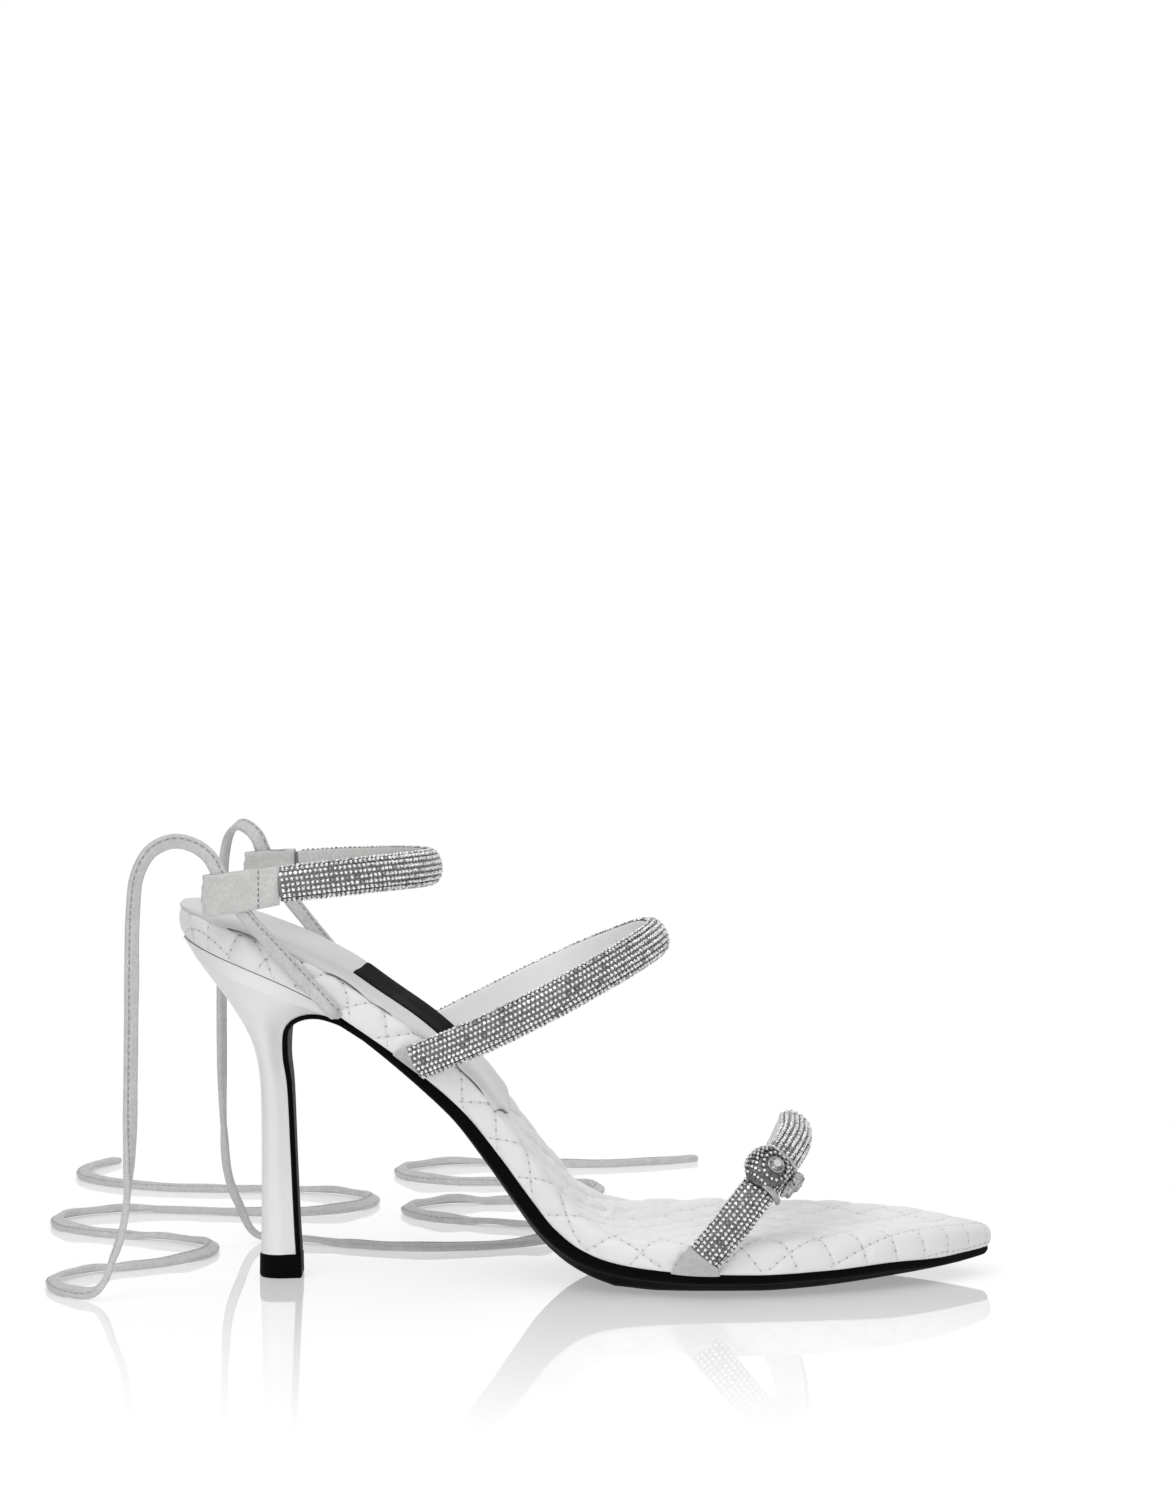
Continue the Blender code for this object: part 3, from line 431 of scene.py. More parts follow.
def woven_patch():
    """The sock's woven label, left bare: fine black satin ribs."""
    s = Shader("patch_black_satin")
    u, v, uv = s.sheet()
    rib = s.math("ABSOLUTE", s.math("SUBTRACT", s.math("FRACT",
                 s.math("MULTIPLY", u, 3.2)), 0.5))
    weft = s.math("ABSOLUTE", s.math("SUBTRACT", s.math("FRACT",
                  s.math("MULTIPLY", v, 3.2)), 0.5))
    weave = s.math("ADD", rib, weft)
    tone = s.mix(s.span(weave, 0.2, 0.8), (0.003, 0.003, 0.0033), (0.009, 0.009, 0.0095))
    n = s.bump(weave, 0.05, 0.7)
    return s.set(colour=tone, rough=0.72, normal=n, specular=0.02, anisotropic=0.3)


def crystal_material(name):
    """Foiled glass whose facet brightness is painted light: painted glints and painted shade per
    facet.
    """
    s = Shader(name)
    f = s.attribute("painted_glint")
    n = s.tree.nodes.new("ShaderNodeValToRGB")
    s.put(f, n.inputs[0])
    ramp = n.color_ramp
    ramp.elements[0].position, ramp.elements[0].color = 0.0, (0.02, 0.02, 0.021, 1)
    ramp.elements[1].position, ramp.elements[1].color = 1.0, (1.0, 1.0, 1.0, 1)
    for at, tone in ((0.25, 0.10), (0.5, 0.38), (0.75, 0.82)):
        e = ramp.elements.new(at)
        e.color = (tone, tone, tone * 1.01, 1)
    return s.set(colour=n.outputs[0], rough=0.07, metal=0.45, specular=0.8, coat=0.6,
                 coat_rough=0.02)


def mesh_metal():
    """Dark metal mesh between the stones."""
    s = Shader("strap_metal_mesh")
    mm = s.mm()
    grit = s.noise(mm, 2.8, 2.0, 0.6)
    tone = s.mix(s.span(grit, 0.35, 0.65), (0.10, 0.10, 0.10), (0.27, 0.27, 0.265))
    return s.set(colour=tone, rough=0.42, metal=0.6,
                 normal=s.bump(grit, 0.12, 0.6))


def polished_metal(tones, gloss):
    s = Shader("ornament_metal_%d" % round(gloss * 100))
    mm = s.mm()
    wear = s.noise(mm, 1.2, 3.0, 0.6)
    fine = s.noise(mm, 6.0, 2.0, 0.5)
    tone = s.mix(s.span(wear, 0.35, 0.65), (tones[0],) * 3, (tones[1],) * 3)
    return s.set(colour=tone, rough=s.span(fine, 0.3, 0.7, gloss, gloss + 0.14, False), metal=1.0,
                 normal=s.bump(fine, 0.03, 0.4))


quilt_leather = leather("footbed_quilted_leather", True)
heel_leather = leather("heel_leather", False, 0.80)
sock_leather = leather("sock_leather", False, 0.64)
lining_leather = leather("lining_leather", False, 0.86)
suede_plain = suede("suede", (0.625, 0.635, 0.62))
suede_tab = suede("suede_tab", (0.55, 0.555, 0.545))
suede_lace = suede("suede_lace", (0.62, 0.62, 0.615), stitched=-1.25)
sole_black = black_rubber("sole_black", 0.50)
tip_black = black_rubber("tip_black", 0.55)
# dark grey for the sock's cut edge, partly its own grey and partly a painted shadow line
cut_edge_and_painted_shadow = suede("cut_edge_and_painted_shadow", (0.16, 0.16, 0.155))
crystal = crystal_material("crystal")
tape_metal = mesh_metal()
silver = polished_metal((0.30, 0.46), 0.16)
dark_metal = polished_metal((0.09, 0.17), 0.34)
patch_black = woven_patch()

# ------------------------------------------------------------------ the free laces
# The same routes as their solids: from the sleeves down to the floor, in loose curves.
TIE_LENGTH = 580.0
LACE_WIDTH = 4.2
LACE_THICK = 1.9
FLOOR = 1.6
TIES = {
    "lateral": [
        (12.8, -30.7, 117.4), (11.0, -30.5, 120.3), (6.9, -30.7, 123.4), (1.2, -31.6, 124.6),
        (-4.6, -33.0, 122.0), (-8.2, -34.2, 115.6), (-9.4, -34.9, 105.0), (-9.8, -35.3, 85.0),
        (-10.2, -35.7, 60.0), (-10.8, -36.2, 36.0), (-12.6, -37.2, 19.0), (-17.2, -38.0, 8.0),
        (-24.4, -35.8, 2.6), (-31.0, -28.0, FLOOR), (-34.0, -13.0, FLOOR), (-27.0, 1.0, FLOOR),
        (-12.0, 10.0, FLOOR), (2.0, 22.0, FLOOR), (5.0, 40.0, FLOOR), (-8.0, 54.0, FLOOR),
        (-27.0, 61.0, FLOOR), (-42.0, 72.0, FLOOR), (-44.0, 90.0, FLOOR),
        (-29.0, 103.0, FLOOR), (-6.0, 102.0, FLOOR), (18.0, 97.0, FLOOR), (40.0, 103.0, FLOOR),
        (48.0, 120.0, FLOOR), (37.0, 136.0, FLOOR), (14.0, 142.0, FLOOR), (-10.0, 143.0, FLOOR),
        (-32.0, 150.0, FLOOR), (-46.0, 165.0, FLOOR), (-47.0, 184.0, FLOOR),
        (-38.0, 203.0, FLOOR)],
    "medial": [
        (20.4, 32.3, 118.0), (19.4, 32.6, 120.4), (17.2, 34.4, 122.6), (13.6, 38.6, 123.6),
        (10.4, 42.6, 120.4), (8.8, 44.8, 114.0), (8.2, 45.6, 104.0), (7.8, 46.0, 85.0),
        (7.6, 46.4, 60.0), (8.0, 47.0, 36.0), (9.6, 48.2, 19.0), (14.6, 50.6, 8.0),
        (22.6, 52.2, 2.6), (33.0, 50.0, FLOOR), (49.0, 41.5, FLOOR), (67.0, 37.0, FLOOR),
        (86.0, 41.0, FLOOR), (103.0, 51.0, FLOOR), (104.0, 69.0, FLOOR), (88.0, 80.0, FLOOR),
        (68.0, 87.0, FLOOR), (59.0, 104.0, FLOOR), (71.0, 119.0, FLOOR), (92.0, 119.0, FLOOR),
        (111.0, 125.0, FLOOR), (117.0, 143.0, FLOOR), (102.0, 156.0, FLOOR),
        (80.0, 155.0, FLOOR), (60.0, 161.0, FLOOR), (54.0, 179.0, FLOOR), (67.0, 194.0, FLOOR),
        (88.0, 195.0, FLOOR), (108.0, 190.0, FLOOR), (130.0, 194.0, FLOOR),
        (151.0, 205.0, FLOOR)],
}


def strip_section(width, thick, count=7):
    """A folded strip's outline, rounder at the fold (+) than at the stitched edge (-):
    points (across, up), with across kept for the stitching."""
    h = thick / 2
    pts = []
    for k in range(count + 1):          # the fold
        a = -math.pi / 2 + math.pi * k / count
        pts.append((width / 2 - h * 0.9 + h * 0.9 * math.cos(a), h * math.sin(a)))
    for f in (0.5, 0.0, -0.42):
        pts.append((f * width / 2, h * (1.0 if f > 0 else 0.97)))
    pts.append((-0.595 * width / 2, h * 0.86))
    pts.append((-0.80 * width / 2, h * 0.95))
    for k in range(1, count - 2):       # the stitched edge
        a = math.pi / 2 + math.pi * k / (count - 2)
        pts.append((-width / 2 + h * 0.45 + h * 0.45 * math.cos(a), h * 0.92 * math.sin(a)))
    pts.append((-0.80 * width / 2, -h * 0.95))
    pts.append((-0.595 * width / 2, -h * 0.86))
    for f in (-0.42, 0.0, 0.5):
        pts.append((f * width / 2, -h * (1.0 if f > 0 else 0.97)))
    return np.array(pts)


def ribbon(name, pts, wide, width, thick, mat, wave=0.05):
    """A flat strip along pts, wide giving its width's direction at each point."""
    t = tangents(pts)
    w = unit(wide - t * (wide * t).sum(1, keepdims=True))
    up = np.cross(w, t)
    s = run_length(pts)
    sec = strip_section(width, thick)
    swell = 1.0 + wave * (0.6 * np.sin(s / 7.3 + 0.4) + 0.4 * np.sin(s / 3.1 + 2.0))
    grid = (pts[:, None] + w[:, None] * (sec[None, :, :1] * swell[:, None, None])
            + up[:, None] * (sec[None, :, 1:] * (2.0 - swell)[:, None, None]))
    uv = np.stack([np.repeat(s[:, None], len(sec), 1),
                   np.repeat(sec[None, :, 0], len(s), 0)], -1)
    b = Build()
    b.grid(grid, wrap=True, uv=uv, caps=True)
    return b.make(name, [mat], angle=60)


def tie(name, route, start_wide):
    path = rounded_path(route, 0.9)
    s = run_length(path)
    want = np.arange(0.0, TIE_LENGTH + 0.01, 1.45)
    want[-1] = TIE_LENGTH
    pts = np.stack([np.interp(want, s, path[:, k]) for k in range(3)], 1)
    flat_z = LACE_THICK / 2 + 0.06
    down = smooth01((12.0 - pts[:, 2]) / 10.0)
    # on the floor the strip lies flat and leans a little into its bends
    t = tangents(pts)
    side = unit(np.cross(np.array([0.0, 0.0, 1.0]) + 0 * t, t))
    flat_t = unit(np.stack([t[:, 0], t[:, 1], 0 * t[:, 0]], 1))
    ang = np.unwrap(np.arctan2(flat_t[:, 1], flat_t[:, 0]))
    bend = np.gradient(ang, want)
    kernel = np.hanning(15)
    bend = np.convolve(bend, kernel / kernel.sum(), mode="same")
    lean = np.clip(bend * 9.0, -0.55, 0.55) * down
    pts[:, 2] = np.where(down > 0, pts[:, 2] * (1 - down) + down * (
        flat_z + np.abs(np.sin(lean)) * (LACE_WIDTH / 2 - 0.6)), pts[:, 2])
    floor_wide = side * np.cos(lean)[:, None] + np.array([0, 0, 1.0]) * np.sin(lean)[:, None]
    # from the sleeve the strip keeps its own face, then turns as it hangs
    hang = unit(np.array(start_wide, float))[None] + 0 * t
    # carry the start direction along by parallel transport
    carry = np.empty_like(pts)
    cur = hang[0] - t[0] * np.dot(hang[0], t[0])
    for k in range(len(pts)):
        cur = cur - t[k] * np.dot(cur, t[k])
        cur = cur / np.linalg.norm(cur)
        carry[k] = cur
    near = int(np.argmax(down > 0.5))
    if np.dot(carry[near], floor_wide[near]) < 0:
        floor_wide = -floor_wide
    mixf = smooth01((60.0 - pts[:, 2]) / 56.0)[:, None]
    mixf = np.where(np.arange(len(pts))[:, None] < 12, 0.0, mixf)
    wide = unit(carry * (1 - mixf) + floor_wide * mixf)
    ob = ribbon(name, pts, wide, LACE_WIDTH, LACE_THICK, suede_lace)
    return ob, pts


for side_name, side in (("lateral", -1.0), ("medial", 1.0)):
    route = TIES[side_name]
    first = unit(np.array(route[1]) - np.array(route[0]))
    ob, pts = tie("free_lace_" + side_name, route,
                  np.cross(first, np.array([-0.28, side, 0.0])) * side)
    piece(ob, ["lace_end_" + side_name])

# ------------------------------------------------------------------ the last
TOE_X = 226.8
HEEL_X = 0.6
HEEL_RADIUS = 27.4
TIP_LENGTH = 8.0
TIP_SLOPE = 0.95
TIP_RADIUS = 2.5
LAST = [  # x, feather height, lean of the thickness, padded thickness, middle, half-width
    (0.0, 96.9, -9.0, 9.6, 0.0, 27.4), (10.0, 93.0, -2.0, 10.2, 0.0, 27.4),
    (20.0, 89.2, 7.0, 10.3, 0.0, 27.4), (30.0, 85.0, 15.0, 10.0, 0.0, 27.4),
    (40.0, 79.9, 24.0, 9.9, 0.0, 26.9), (50.0, 73.1, 32.0, 9.9, 0.0, 26.3),
    (60.0, 66.0, 37.0, 9.9, 0.0, 25.5), (70.0, 58.2, 41.5, 9.6, 0.1, 25.0),
    (80.0, 49.2, 46.5, 8.6, 0.2, 25.3), (90.0, 36.9, 50.5, 7.8, 0.3, 26.4),
    (98.0, 26.2, 50.5, 7.9, 0.2, 28.0), (105.0, 17.6, 43.0, 8.1, 0.1, 29.4),
    (112.0, 12.4, 30.0, 8.2, 0.0, 31.0), (120.0, 9.4, 16.0, 8.2, -0.2, 33.0),
    (130.0, 7.9, 6.5, 8.5, -0.4, 35.4), (145.0, 6.9, 1.5, 9.4, -0.5, 37.4),
    (160.0, 6.6, 0.0, 9.9, -0.5, 36.9), (180.0, 7.0, -1.0, 9.7, -0.2, 32.2),
    (200.0, 7.8, -2.0, 8.6, 0.9, 23.8), (212.0, 7.7, -1.0, 7.6, 2.2, 16.5),
    (218.8, 7.7, 0.0, 6.9, 3.2, 9.9), (227.0, 7.8, 0.0, 5.6, 4.6, 0.0)]
feather_z, lean_deg, thick_mm, middle_y, half_mm = (
    pchip([(r[0], r[k]) for r in LAST]) for k in range(1, 6))


def half_width(x):
    x = np.asarray(x, float)
    k = np.maximum(0.0, 1.0 - (np.maximum(HEEL_X + HEEL_RADIUS - x, 0.0)
                               / HEEL_RADIUS) ** 2.15) ** (1 / 2.15)
    d = np.maximum(0.0, TOE_X - x)
    tip = np.sqrt((TIP_SLOPE * d) ** 2 + 2 * TIP_RADIUS * d)
    return np.where(x > TOE_X - TIP_LENGTH, tip, half_mm(x) * k)


def on_last(x, y, n):
    """Points n above the feather surface, measured along the lean."""
    x, y, n = np.broadcast_arrays(np.asarray(x, float), y, n)
    a = np.radians(lean_deg(x))
    return np.stack([x + n * np.sin(a), y + 0 * x, feather_z(x) + n * np.cos(a)], -1)


def stations(heel_steps, mid_steps, toe_steps):
    a, b = HEEL_X + HEEL_RADIUS, TOE_X - TIP_LENGTH
    xs = [HEEL_X + HEEL_RADIUS * (1 - math.cos(math.pi / 2 * i / heel_steps))
          for i in range(heel_steps)]
    xs += [a + (b - a) * i / mid_steps for i in range(mid_steps)]
    xs += [TOE_X - TIP_LENGTH * (1 - i / toe_steps) ** 2 for i in range(toe_steps + 1)]
    return np.array(xs)


fine_x = np.linspace(HEEL_X, TOE_X, 1200)
fine_top = on_last(fine_x, 0.0, thick_mm(fine_x) * 0.85)
fine_arc = run_length(fine_top)


def arc(x):
    """Length along the footbed's top from its back, the sheet's own long coordinate."""
    return np.interp(x, fine_x, fine_arc)


def outline(xs):
    """Closed plan outline with inward normals, room to the other side, and the same
    normals in the unrolled sheet."""
    left = np.stack([xs, middle_y(xs) - half_width(xs)], 1)
    right = np.stack([xs[1:-1], middle_y(xs[1:-1]) + half_width(xs[1:-1])], 1)[::-1]
    pts = np.concatenate([left, right])

    def normals(p):
        t = np.roll(p, -1, 0) - np.roll(p, 1, 0)
        t = t / np.linalg.norm(t, axis=1, keepdims=True)
        return np.stack([-t[:, 1], t[:, 0]], 1)
    n = normals(pts)
    sheet = np.stack([arc(pts[:, 0]), pts[:, 1]], 1)
    ns = normals(sheet)
    room = np.where(np.abs(n[:, 1]) > 0.05,
                    half_width(pts[:, 0]) / np.maximum(np.abs(n[:, 1]), 0.05), HEEL_RADIUS)
    last = len(xs) - 1
    room[0], room[last] = HEEL_RADIUS, max(room[last - 1], TIP_RADIUS)
    return pts, n, room, sheet, ns


# the wall's section: inset from the outline and level, bottom edge to flat top
WALL = [(1.3, 0.0), (0.55, 0.07), (0.15, 0.20), (0.0, 0.40), (0.10, 0.60), (0.50, 0.76),
        (1.35, 0.88), (2.7, 0.955), (4.6, 0.99), (6.8, 1.0)]
_w = np.array(WALL)
_run = np.concatenate([[0.0], np.cumsum(np.hypot(np.diff(_w[:, 0]),
                                                 np.diff(_w[:, 1]) * 8.6))])
wall_inset = pchip(list(zip(_run, _w[:, 0])))
wall_level = pchip(list(zip(_run, _w[:, 1])))
WALL_LENGTH = float(_run[-1])
_up = _w[3:]
top_level = pchip([(r[0], r[1]) for r in _up] + [(8.0, 1.0), (80.0, 1.0)])
DISH = 1.1


def quilt_distance(sheet, shift, sign):
    q = (sheet[..., 0] + sign * sheet[..., 1] - shift) / QUILT
    return np.abs(q + 0.5 - np.floor(q + 0.5) - 0.5) * QUILT / math.sqrt(2.0)


def cell_value(sheet, seed):
    """A steady random number per diamond."""
    i = np.floor((sheet[..., 0] + sheet[..., 1] - QUILT_A) / QUILT)
    j = np.floor((sheet[..., 0] - sheet[..., 1] - QUILT_B) / QUILT)
    q = np.sin(i * 12.9898 + j * 78.233 + seed) * 43758.5453
    return q - np.floor(q)


def quilt_relief(sheet):
    """How far the quilted leather stands above its stitching, in mm."""
    a = quilt_distance(sheet, QUILT_A, 1.0)
    b = quilt_distance(sheet, QUILT_B, -1.0)
    puff = (1 - np.exp(-(a / 1.35) ** 1.1)) * (1 - np.exp(-(b / 1.35) ** 1.1))
    along_a = (sheet[..., 0] - sheet[..., 1]) / math.sqrt(2.0) / STITCH
    along_b = (sheet[..., 0] + sheet[..., 1]) / math.sqrt(2.0) / STITCH
    pinch = (0.5 + 0.5 * np.cos(2 * math.pi * (along_a - 0.5))) * np.exp(-(a / 0.8) ** 2) \
        + (0.5 + 0.5 * np.cos(2 * math.pi * (along_b - 0.5))) * np.exp(-(b / 0.8) ** 2)
    fold = np.sin(along_a * 2 * math.pi * 0.5 + 3.0 * cell_value(sheet, 1.0)) \
        * np.exp(-((a - 1.4) / 1.1) ** 2) \
        + np.sin(along_b * 2 * math.pi * 0.5 + 3.0 * cell_value(sheet, 2.0)) \
        * np.exp(-((b - 1.4) / 1.1) ** 2)
    full = 0.80 + 0.4 * cell_value(sheet, 3.0)
    return -0.75 + 0.90 * puff * full - 0.16 * pinch + 0.11 * fold


def footbed():
    xs = stations(44, 380, 26)
    pts, n, room, sheet, ns = outline(xs)
    total, count = len(pts), len(xs)
    runs = np.linspace(0.0, WALL_LENGTH, 27)
    m = 0.95 * room
    verts, sheets = [], []
    top_run = m * (1 - np.exp(-WALL[-1][0] / m))
    for r in runs:
        inset, level = float(wall_inset(r)), float(wall_level(r))
        d = m * (1 - np.exp(-inset / m)) if inset > 0 else inset + 0 * m
        p = pts + n * d[:, None]
        verts.append(on_last(p[:, 0], p[:, 1], thick_mm(p[:, 0]) * level))
        sheets.append(sheet + ns * (top_run - (WALL_LENGTH - r))[:, None])
    ring = np.stack(verts)
    ring_sheet = np.stack(sheets)
    # the top, between the two sides of the last ring
    parts = 84
    d = top_run
    p = pts + n * d[:, None]
    i = np.arange(1, count - 1)
    a, b = p[i], p[total - i]
    f = (np.arange(1, parts) / parts)[None, :, None]
    q = a[:, None] * (1 - f) + b[:, None] * f
    sink = DISH * np.minimum(1.0, half_width(q[..., 0]) / 20.0) \
        * np.sin(math.pi * f[..., 0]) ** 1.6
    inner = on_last(q[..., 0], q[..., 1], thick_mm(q[..., 0]) - sink)
    inner_sheet = np.stack([arc(q[..., 0]), q[..., 1]], -1)
    # the last ring joins the top's own sheet
    ring_sheet[-1] = np.stack([arc(p[:, 0]), p[:, 1]], -1)
    blend = smooth01((runs - (WALL_LENGTH - 5.5)) / 5.5)
    for k in range(len(runs)):
        inset = float(wall_inset(runs[k]))
        dd = m * (1 - np.exp(-inset / m)) if inset > 0 else 0 * m
        pk = pts + n * dd[:, None]
        flat = np.stack([arc(pk[:, 0]), pk[:, 1]], -1)
        ring_sheet[k] = ring_sheet[k] * (1 - blend[k]) + flat * blend[k]
    rows = len(runs)
    v = np.concatenate([ring.reshape(-1, 3), inner.reshape(-1, 3)])
    uv = np.concatenate([ring_sheet.reshape(-1, 2), inner_sheet.reshape(-1, 2)])
    faces = []
    for r in range(rows - 1):
        x, y = r * total, (r + 1) * total
        for k in range(total):
            j = (k + 1) % total
            faces.append((x + k, x + j, y + j, y + k))
    base, top = rows * total, (rows - 1) * total
    cols = parts - 1

    def row(r):                      # r from 0 for station 1
        return ([top + r + 1] + list(range(base + r * cols, base + (r + 1) * cols))
                + [top + total - r - 1])
    for r in range(count - 3):
        x, y = row(r), row(r + 1)
        for k in range(parts):
            faces.append((x[k], x[k + 1], y[k + 1], y[k]))
    x, y = row(0), row(count - 3)
    for k in range(parts):
        faces.append((top, x[k], x[k + 1]))
        faces.append((top + count - 1, y[k], y[k + 1]))
    for r in range(1, count - 2):    # underside
        faces.append((r, r + 1, total - r - 1, total - r))
    faces.append((0, 1, total - 1))
    faces.append((count - 1, count - 2, count))
    global bed_tree
    bed_tree = BVHTree.FromPolygons(v.tolist(), faces)
    build = Build()
    build.add(v, faces, 0, uv)
    ob = build.make("footbed_quilted", [quilt_leather])
    mesh = ob.data
    normal = np.empty(len(mesh.vertices) * 3, np.float32)
    mesh.vertices.foreach_get("normal", normal)
    normal = normal.reshape(-1, 3).astype(float)
    relief = quilt_relief(uv)
    # flat under the sock and at the bottom edge
    soft = np.ones(len(uv))
    low = np.repeat(runs, total)
    soft[:len(low)] *= smooth01(low / 1.6)
    low_full = np.concatenate([low, np.full(len(uv) - len(low), WALL_LENGTH)])
    relief = relief * soft
    # pressed flat under the sock
    station = np.concatenate([np.tile(pts[:, 0], rows), q[..., 0].ravel()])
    covered = smooth01((86.0 - station) / 1.5) * smooth01((low_full - WALL_LENGTH + 6.1) / 0.5)
    relief = relief * (1 - 0.30 * smooth01((station - 150.0) / 50.0))
    # soft folds across the hollow where the footbed bends to the forefoot
    hollow = smooth01((station - 92.0) / 10.0) * (1 - smooth01((station - 122.0) / 16.0)) \
        * smooth01((low_full - WALL_LENGTH + 3.0) / 3.0)
    sway = uv[:, 0] + 2.2 * np.sin(uv[:, 1] / 8.5 + 0.8) + 1.1 * np.sin(uv[:, 1] / 3.7 + 2.0)
    crease = np.sin(sway * 2 * math.pi / 5.7) + 0.5 * np.sin(sway * 2 * math.pi / 3.1
                                                             + uv[:, 1] / 5.0)
    relief = relief + 0.20 * hollow * crease * (0.6 + 0.4 * np.sin(uv[:, 1] / 6.3 + 1.0))
    tip = smooth01((station - 196.0) / 22.0)
    relief = relief * (1 - 0.45 * tip) + 0.42 * tip
    relief = relief * (1 - covered) - 0.5 * covered
    co = to_m(v) + normal * (relief * MM)[:, None]
    mesh.vertices.foreach_set("co", co.astype(np.float32).ravel())
    at = mesh.attributes.new("stitched", "FLOAT", "POINT")
    at.data.foreach_set("value", soft.astype(np.float32))
    mesh.update()
    return ob


footbed_ob = piece(footbed(), ["footbed"])

# ------------------------------------------------------------------ the heel
BREAST = np.array([
    (49.8, 72.8), (46.5, 74.2), (43.2, 75.1), (40.0, 75.6), (36.6, 75.4), (33.6, 74.4),
    (31.3, 72.8), (29.9, 70.6), (29.3, 67.4), (29.3, 61.7), (30.3, 53.4), (31.1, 34.0),
    (31.8, 17.4), (32.4, 6.7)])
breast_x = pchip(list(enumerate(BREAST[:, 0])))


def smooth_rows(rows, k):
    """Catmull-Rom through a table's rows, read at row numbers k."""
    rows = np.asarray(rows, float)
    k = np.clip(np.asarray(k, float), 0, len(rows) - 1)
    i = np.clip(np.floor(k).astype(int), 0, len(rows) - 2)
    t = (k - i)[:, None]
    ext = np.concatenate([[2 * rows[0] - rows[1]], rows, [2 * rows[-1] - rows[-2]]])
    a, b, c, d = ext[i], ext[i + 1], ext[i + 2], ext[i + 3]
    return 0.5 * (2 * b + (c - a) * t + (2 * a - 5 * b + 4 * c - d) * t**2
                  + (3 * b - a - 3 * c + d) * t**3)


def breast_offset(k, off):
    """Points of the breast curve at rows k moved off toward the heel, and outward units."""
    k = np.atleast_1d(np.asarray(k, float))
    p = smooth_rows(BREAST, k)
    t = smooth_rows(BREAST, k + 0.25) - smooth_rows(BREAST, k - 0.25)
    t = unit(t)
    n = np.stack([t[:, 1], -t[:, 0]], 1)
    return p + n * off, -n


HEEL = np.array([  # back x, back z, breast row, widest half-width, breast half-width
    (22.3, 6.7, 13, 5.7, 4.6), (22.5, 17.4, 12, 5.3, 4.3), (22.6, 34.0, 11, 5.4, 4.4),
    (22.5, 50.5, 10, 6.7, 5.7), (21.9, 58.9, 9, 9.2, 7.8), (20.6, 64.9, 8, 12.2, 10.4),
    (18.6, 70.0, 7, 15.2, 12.1), (16.0, 74.6, 6, 17.8, 13.6), (13.2, 78.9, 5, 20.2, 15.4),
    (10.2, 82.9, 4, 22.1, 17.4), (7.2, 86.9, 3, 23.8, 19.5), (4.3, 90.9, 2, 25.4, 21.6)])
HEEL_END_X = 44.6


def heel_half(u, half, face):
    wide = 0.52
    k = np.maximum(0.0, 1 - (np.maximum(wide - u, 0.0) / wide) ** 2.2) ** (1 / 2.2)
    t = np.clip((u - wide) / (1 - wide), 0.0, 1.0)
    return np.where(u < wide, half * k, half + (face - half) * t * t * (3 - 2 * t))


def heel():
    u = np.concatenate([0.52 * (1 - np.cos(np.linspace(0, math.pi / 2, 26))),
                        np.linspace(0.52, 1.0, 24)[1:]])
    ks = np.linspace(0, len(HEEL) - 1, 96)
    rows = smooth_rows(HEEL, ks)
    rings = []
    for bx, bz, br, half, face in rows:
        front = breast_offset([br], 0.15)[0][0]
        x = bx + (front[0] - bx) * u
        z = bz + (front[1] - bz) * u
        y = heel_half(u, half, face)
        rings.append(np.stack([x, y, z], 1))
    start = HEEL_X + 0.9
    xs = start + (HEEL_END_X - start) * u
    h = np.where(u > 0, np.maximum(0.0, half_width(xs) - 1.6), 0.0)
    seat = on_last(xs, 0.0, -GAP)
    seat = np.stack([seat[:, 0], h, seat[:, 2]], 1)
    last = rings[-1]
    for k in range(1, 8):
        f = k / 7.0
        rings.append(last * (1 - f) + seat * f)
    rings = np.stack(rings)
    full = np.concatenate([rings * np.array([1, -1, 1]), rings[:, :0:-1]], 1)
    b = Build()
    b.grid(full, wrap=True)
    n = full.shape[1]
    top = (len(full) - 1) * n
    steps = len(u)
    faces = [tuple(range(n))[::-1], (top, top + 1, top + n - 1)]
    for k in range(1, steps - 1):
        faces.append((top + k, top + k + 1, top + n - k - 1, top + n - k))
    b.f.extend(faces)
    b.m.extend([0] * len(faces))
    b.shade.extend([0.5] * len(faces))
    return b.make("heel_covered", [heel_leather], angle=42)


piece(heel(), ["heel"])


def top_piece():
    u = np.concatenate([0.52 * (1 - np.cos(np.linspace(0, math.pi / 2, 18))),
                        np.linspace(0.52, 1.0, 16)[1:]])
    rings = []
    for z, g in ((0.0, -0.45), (0.12, -0.15), (0.45, 0.06), (0.9, 0.10), (3.4, 0.04),
                 (5.9, 0.0), (6.25, -0.08), (6.4, -0.30)):
        back, front = 22.0 - g, 33.9 + g
        x = back + (front - back) * u
        y = heel_half(u, 5.8 + g, 5.2 + g)
        half = np.stack([x, y, z + 0 * x], 1)
        rings.append(np.concatenate([half * np.array([1, -1, 1]), half[:0:-1]]))
    b = Build()
    b.grid(np.stack(rings), wrap=True, caps=True)
    return b.make("heel_tip", [tip_black], angle=40)


piece(top_piece(), ["heel_top_piece"])

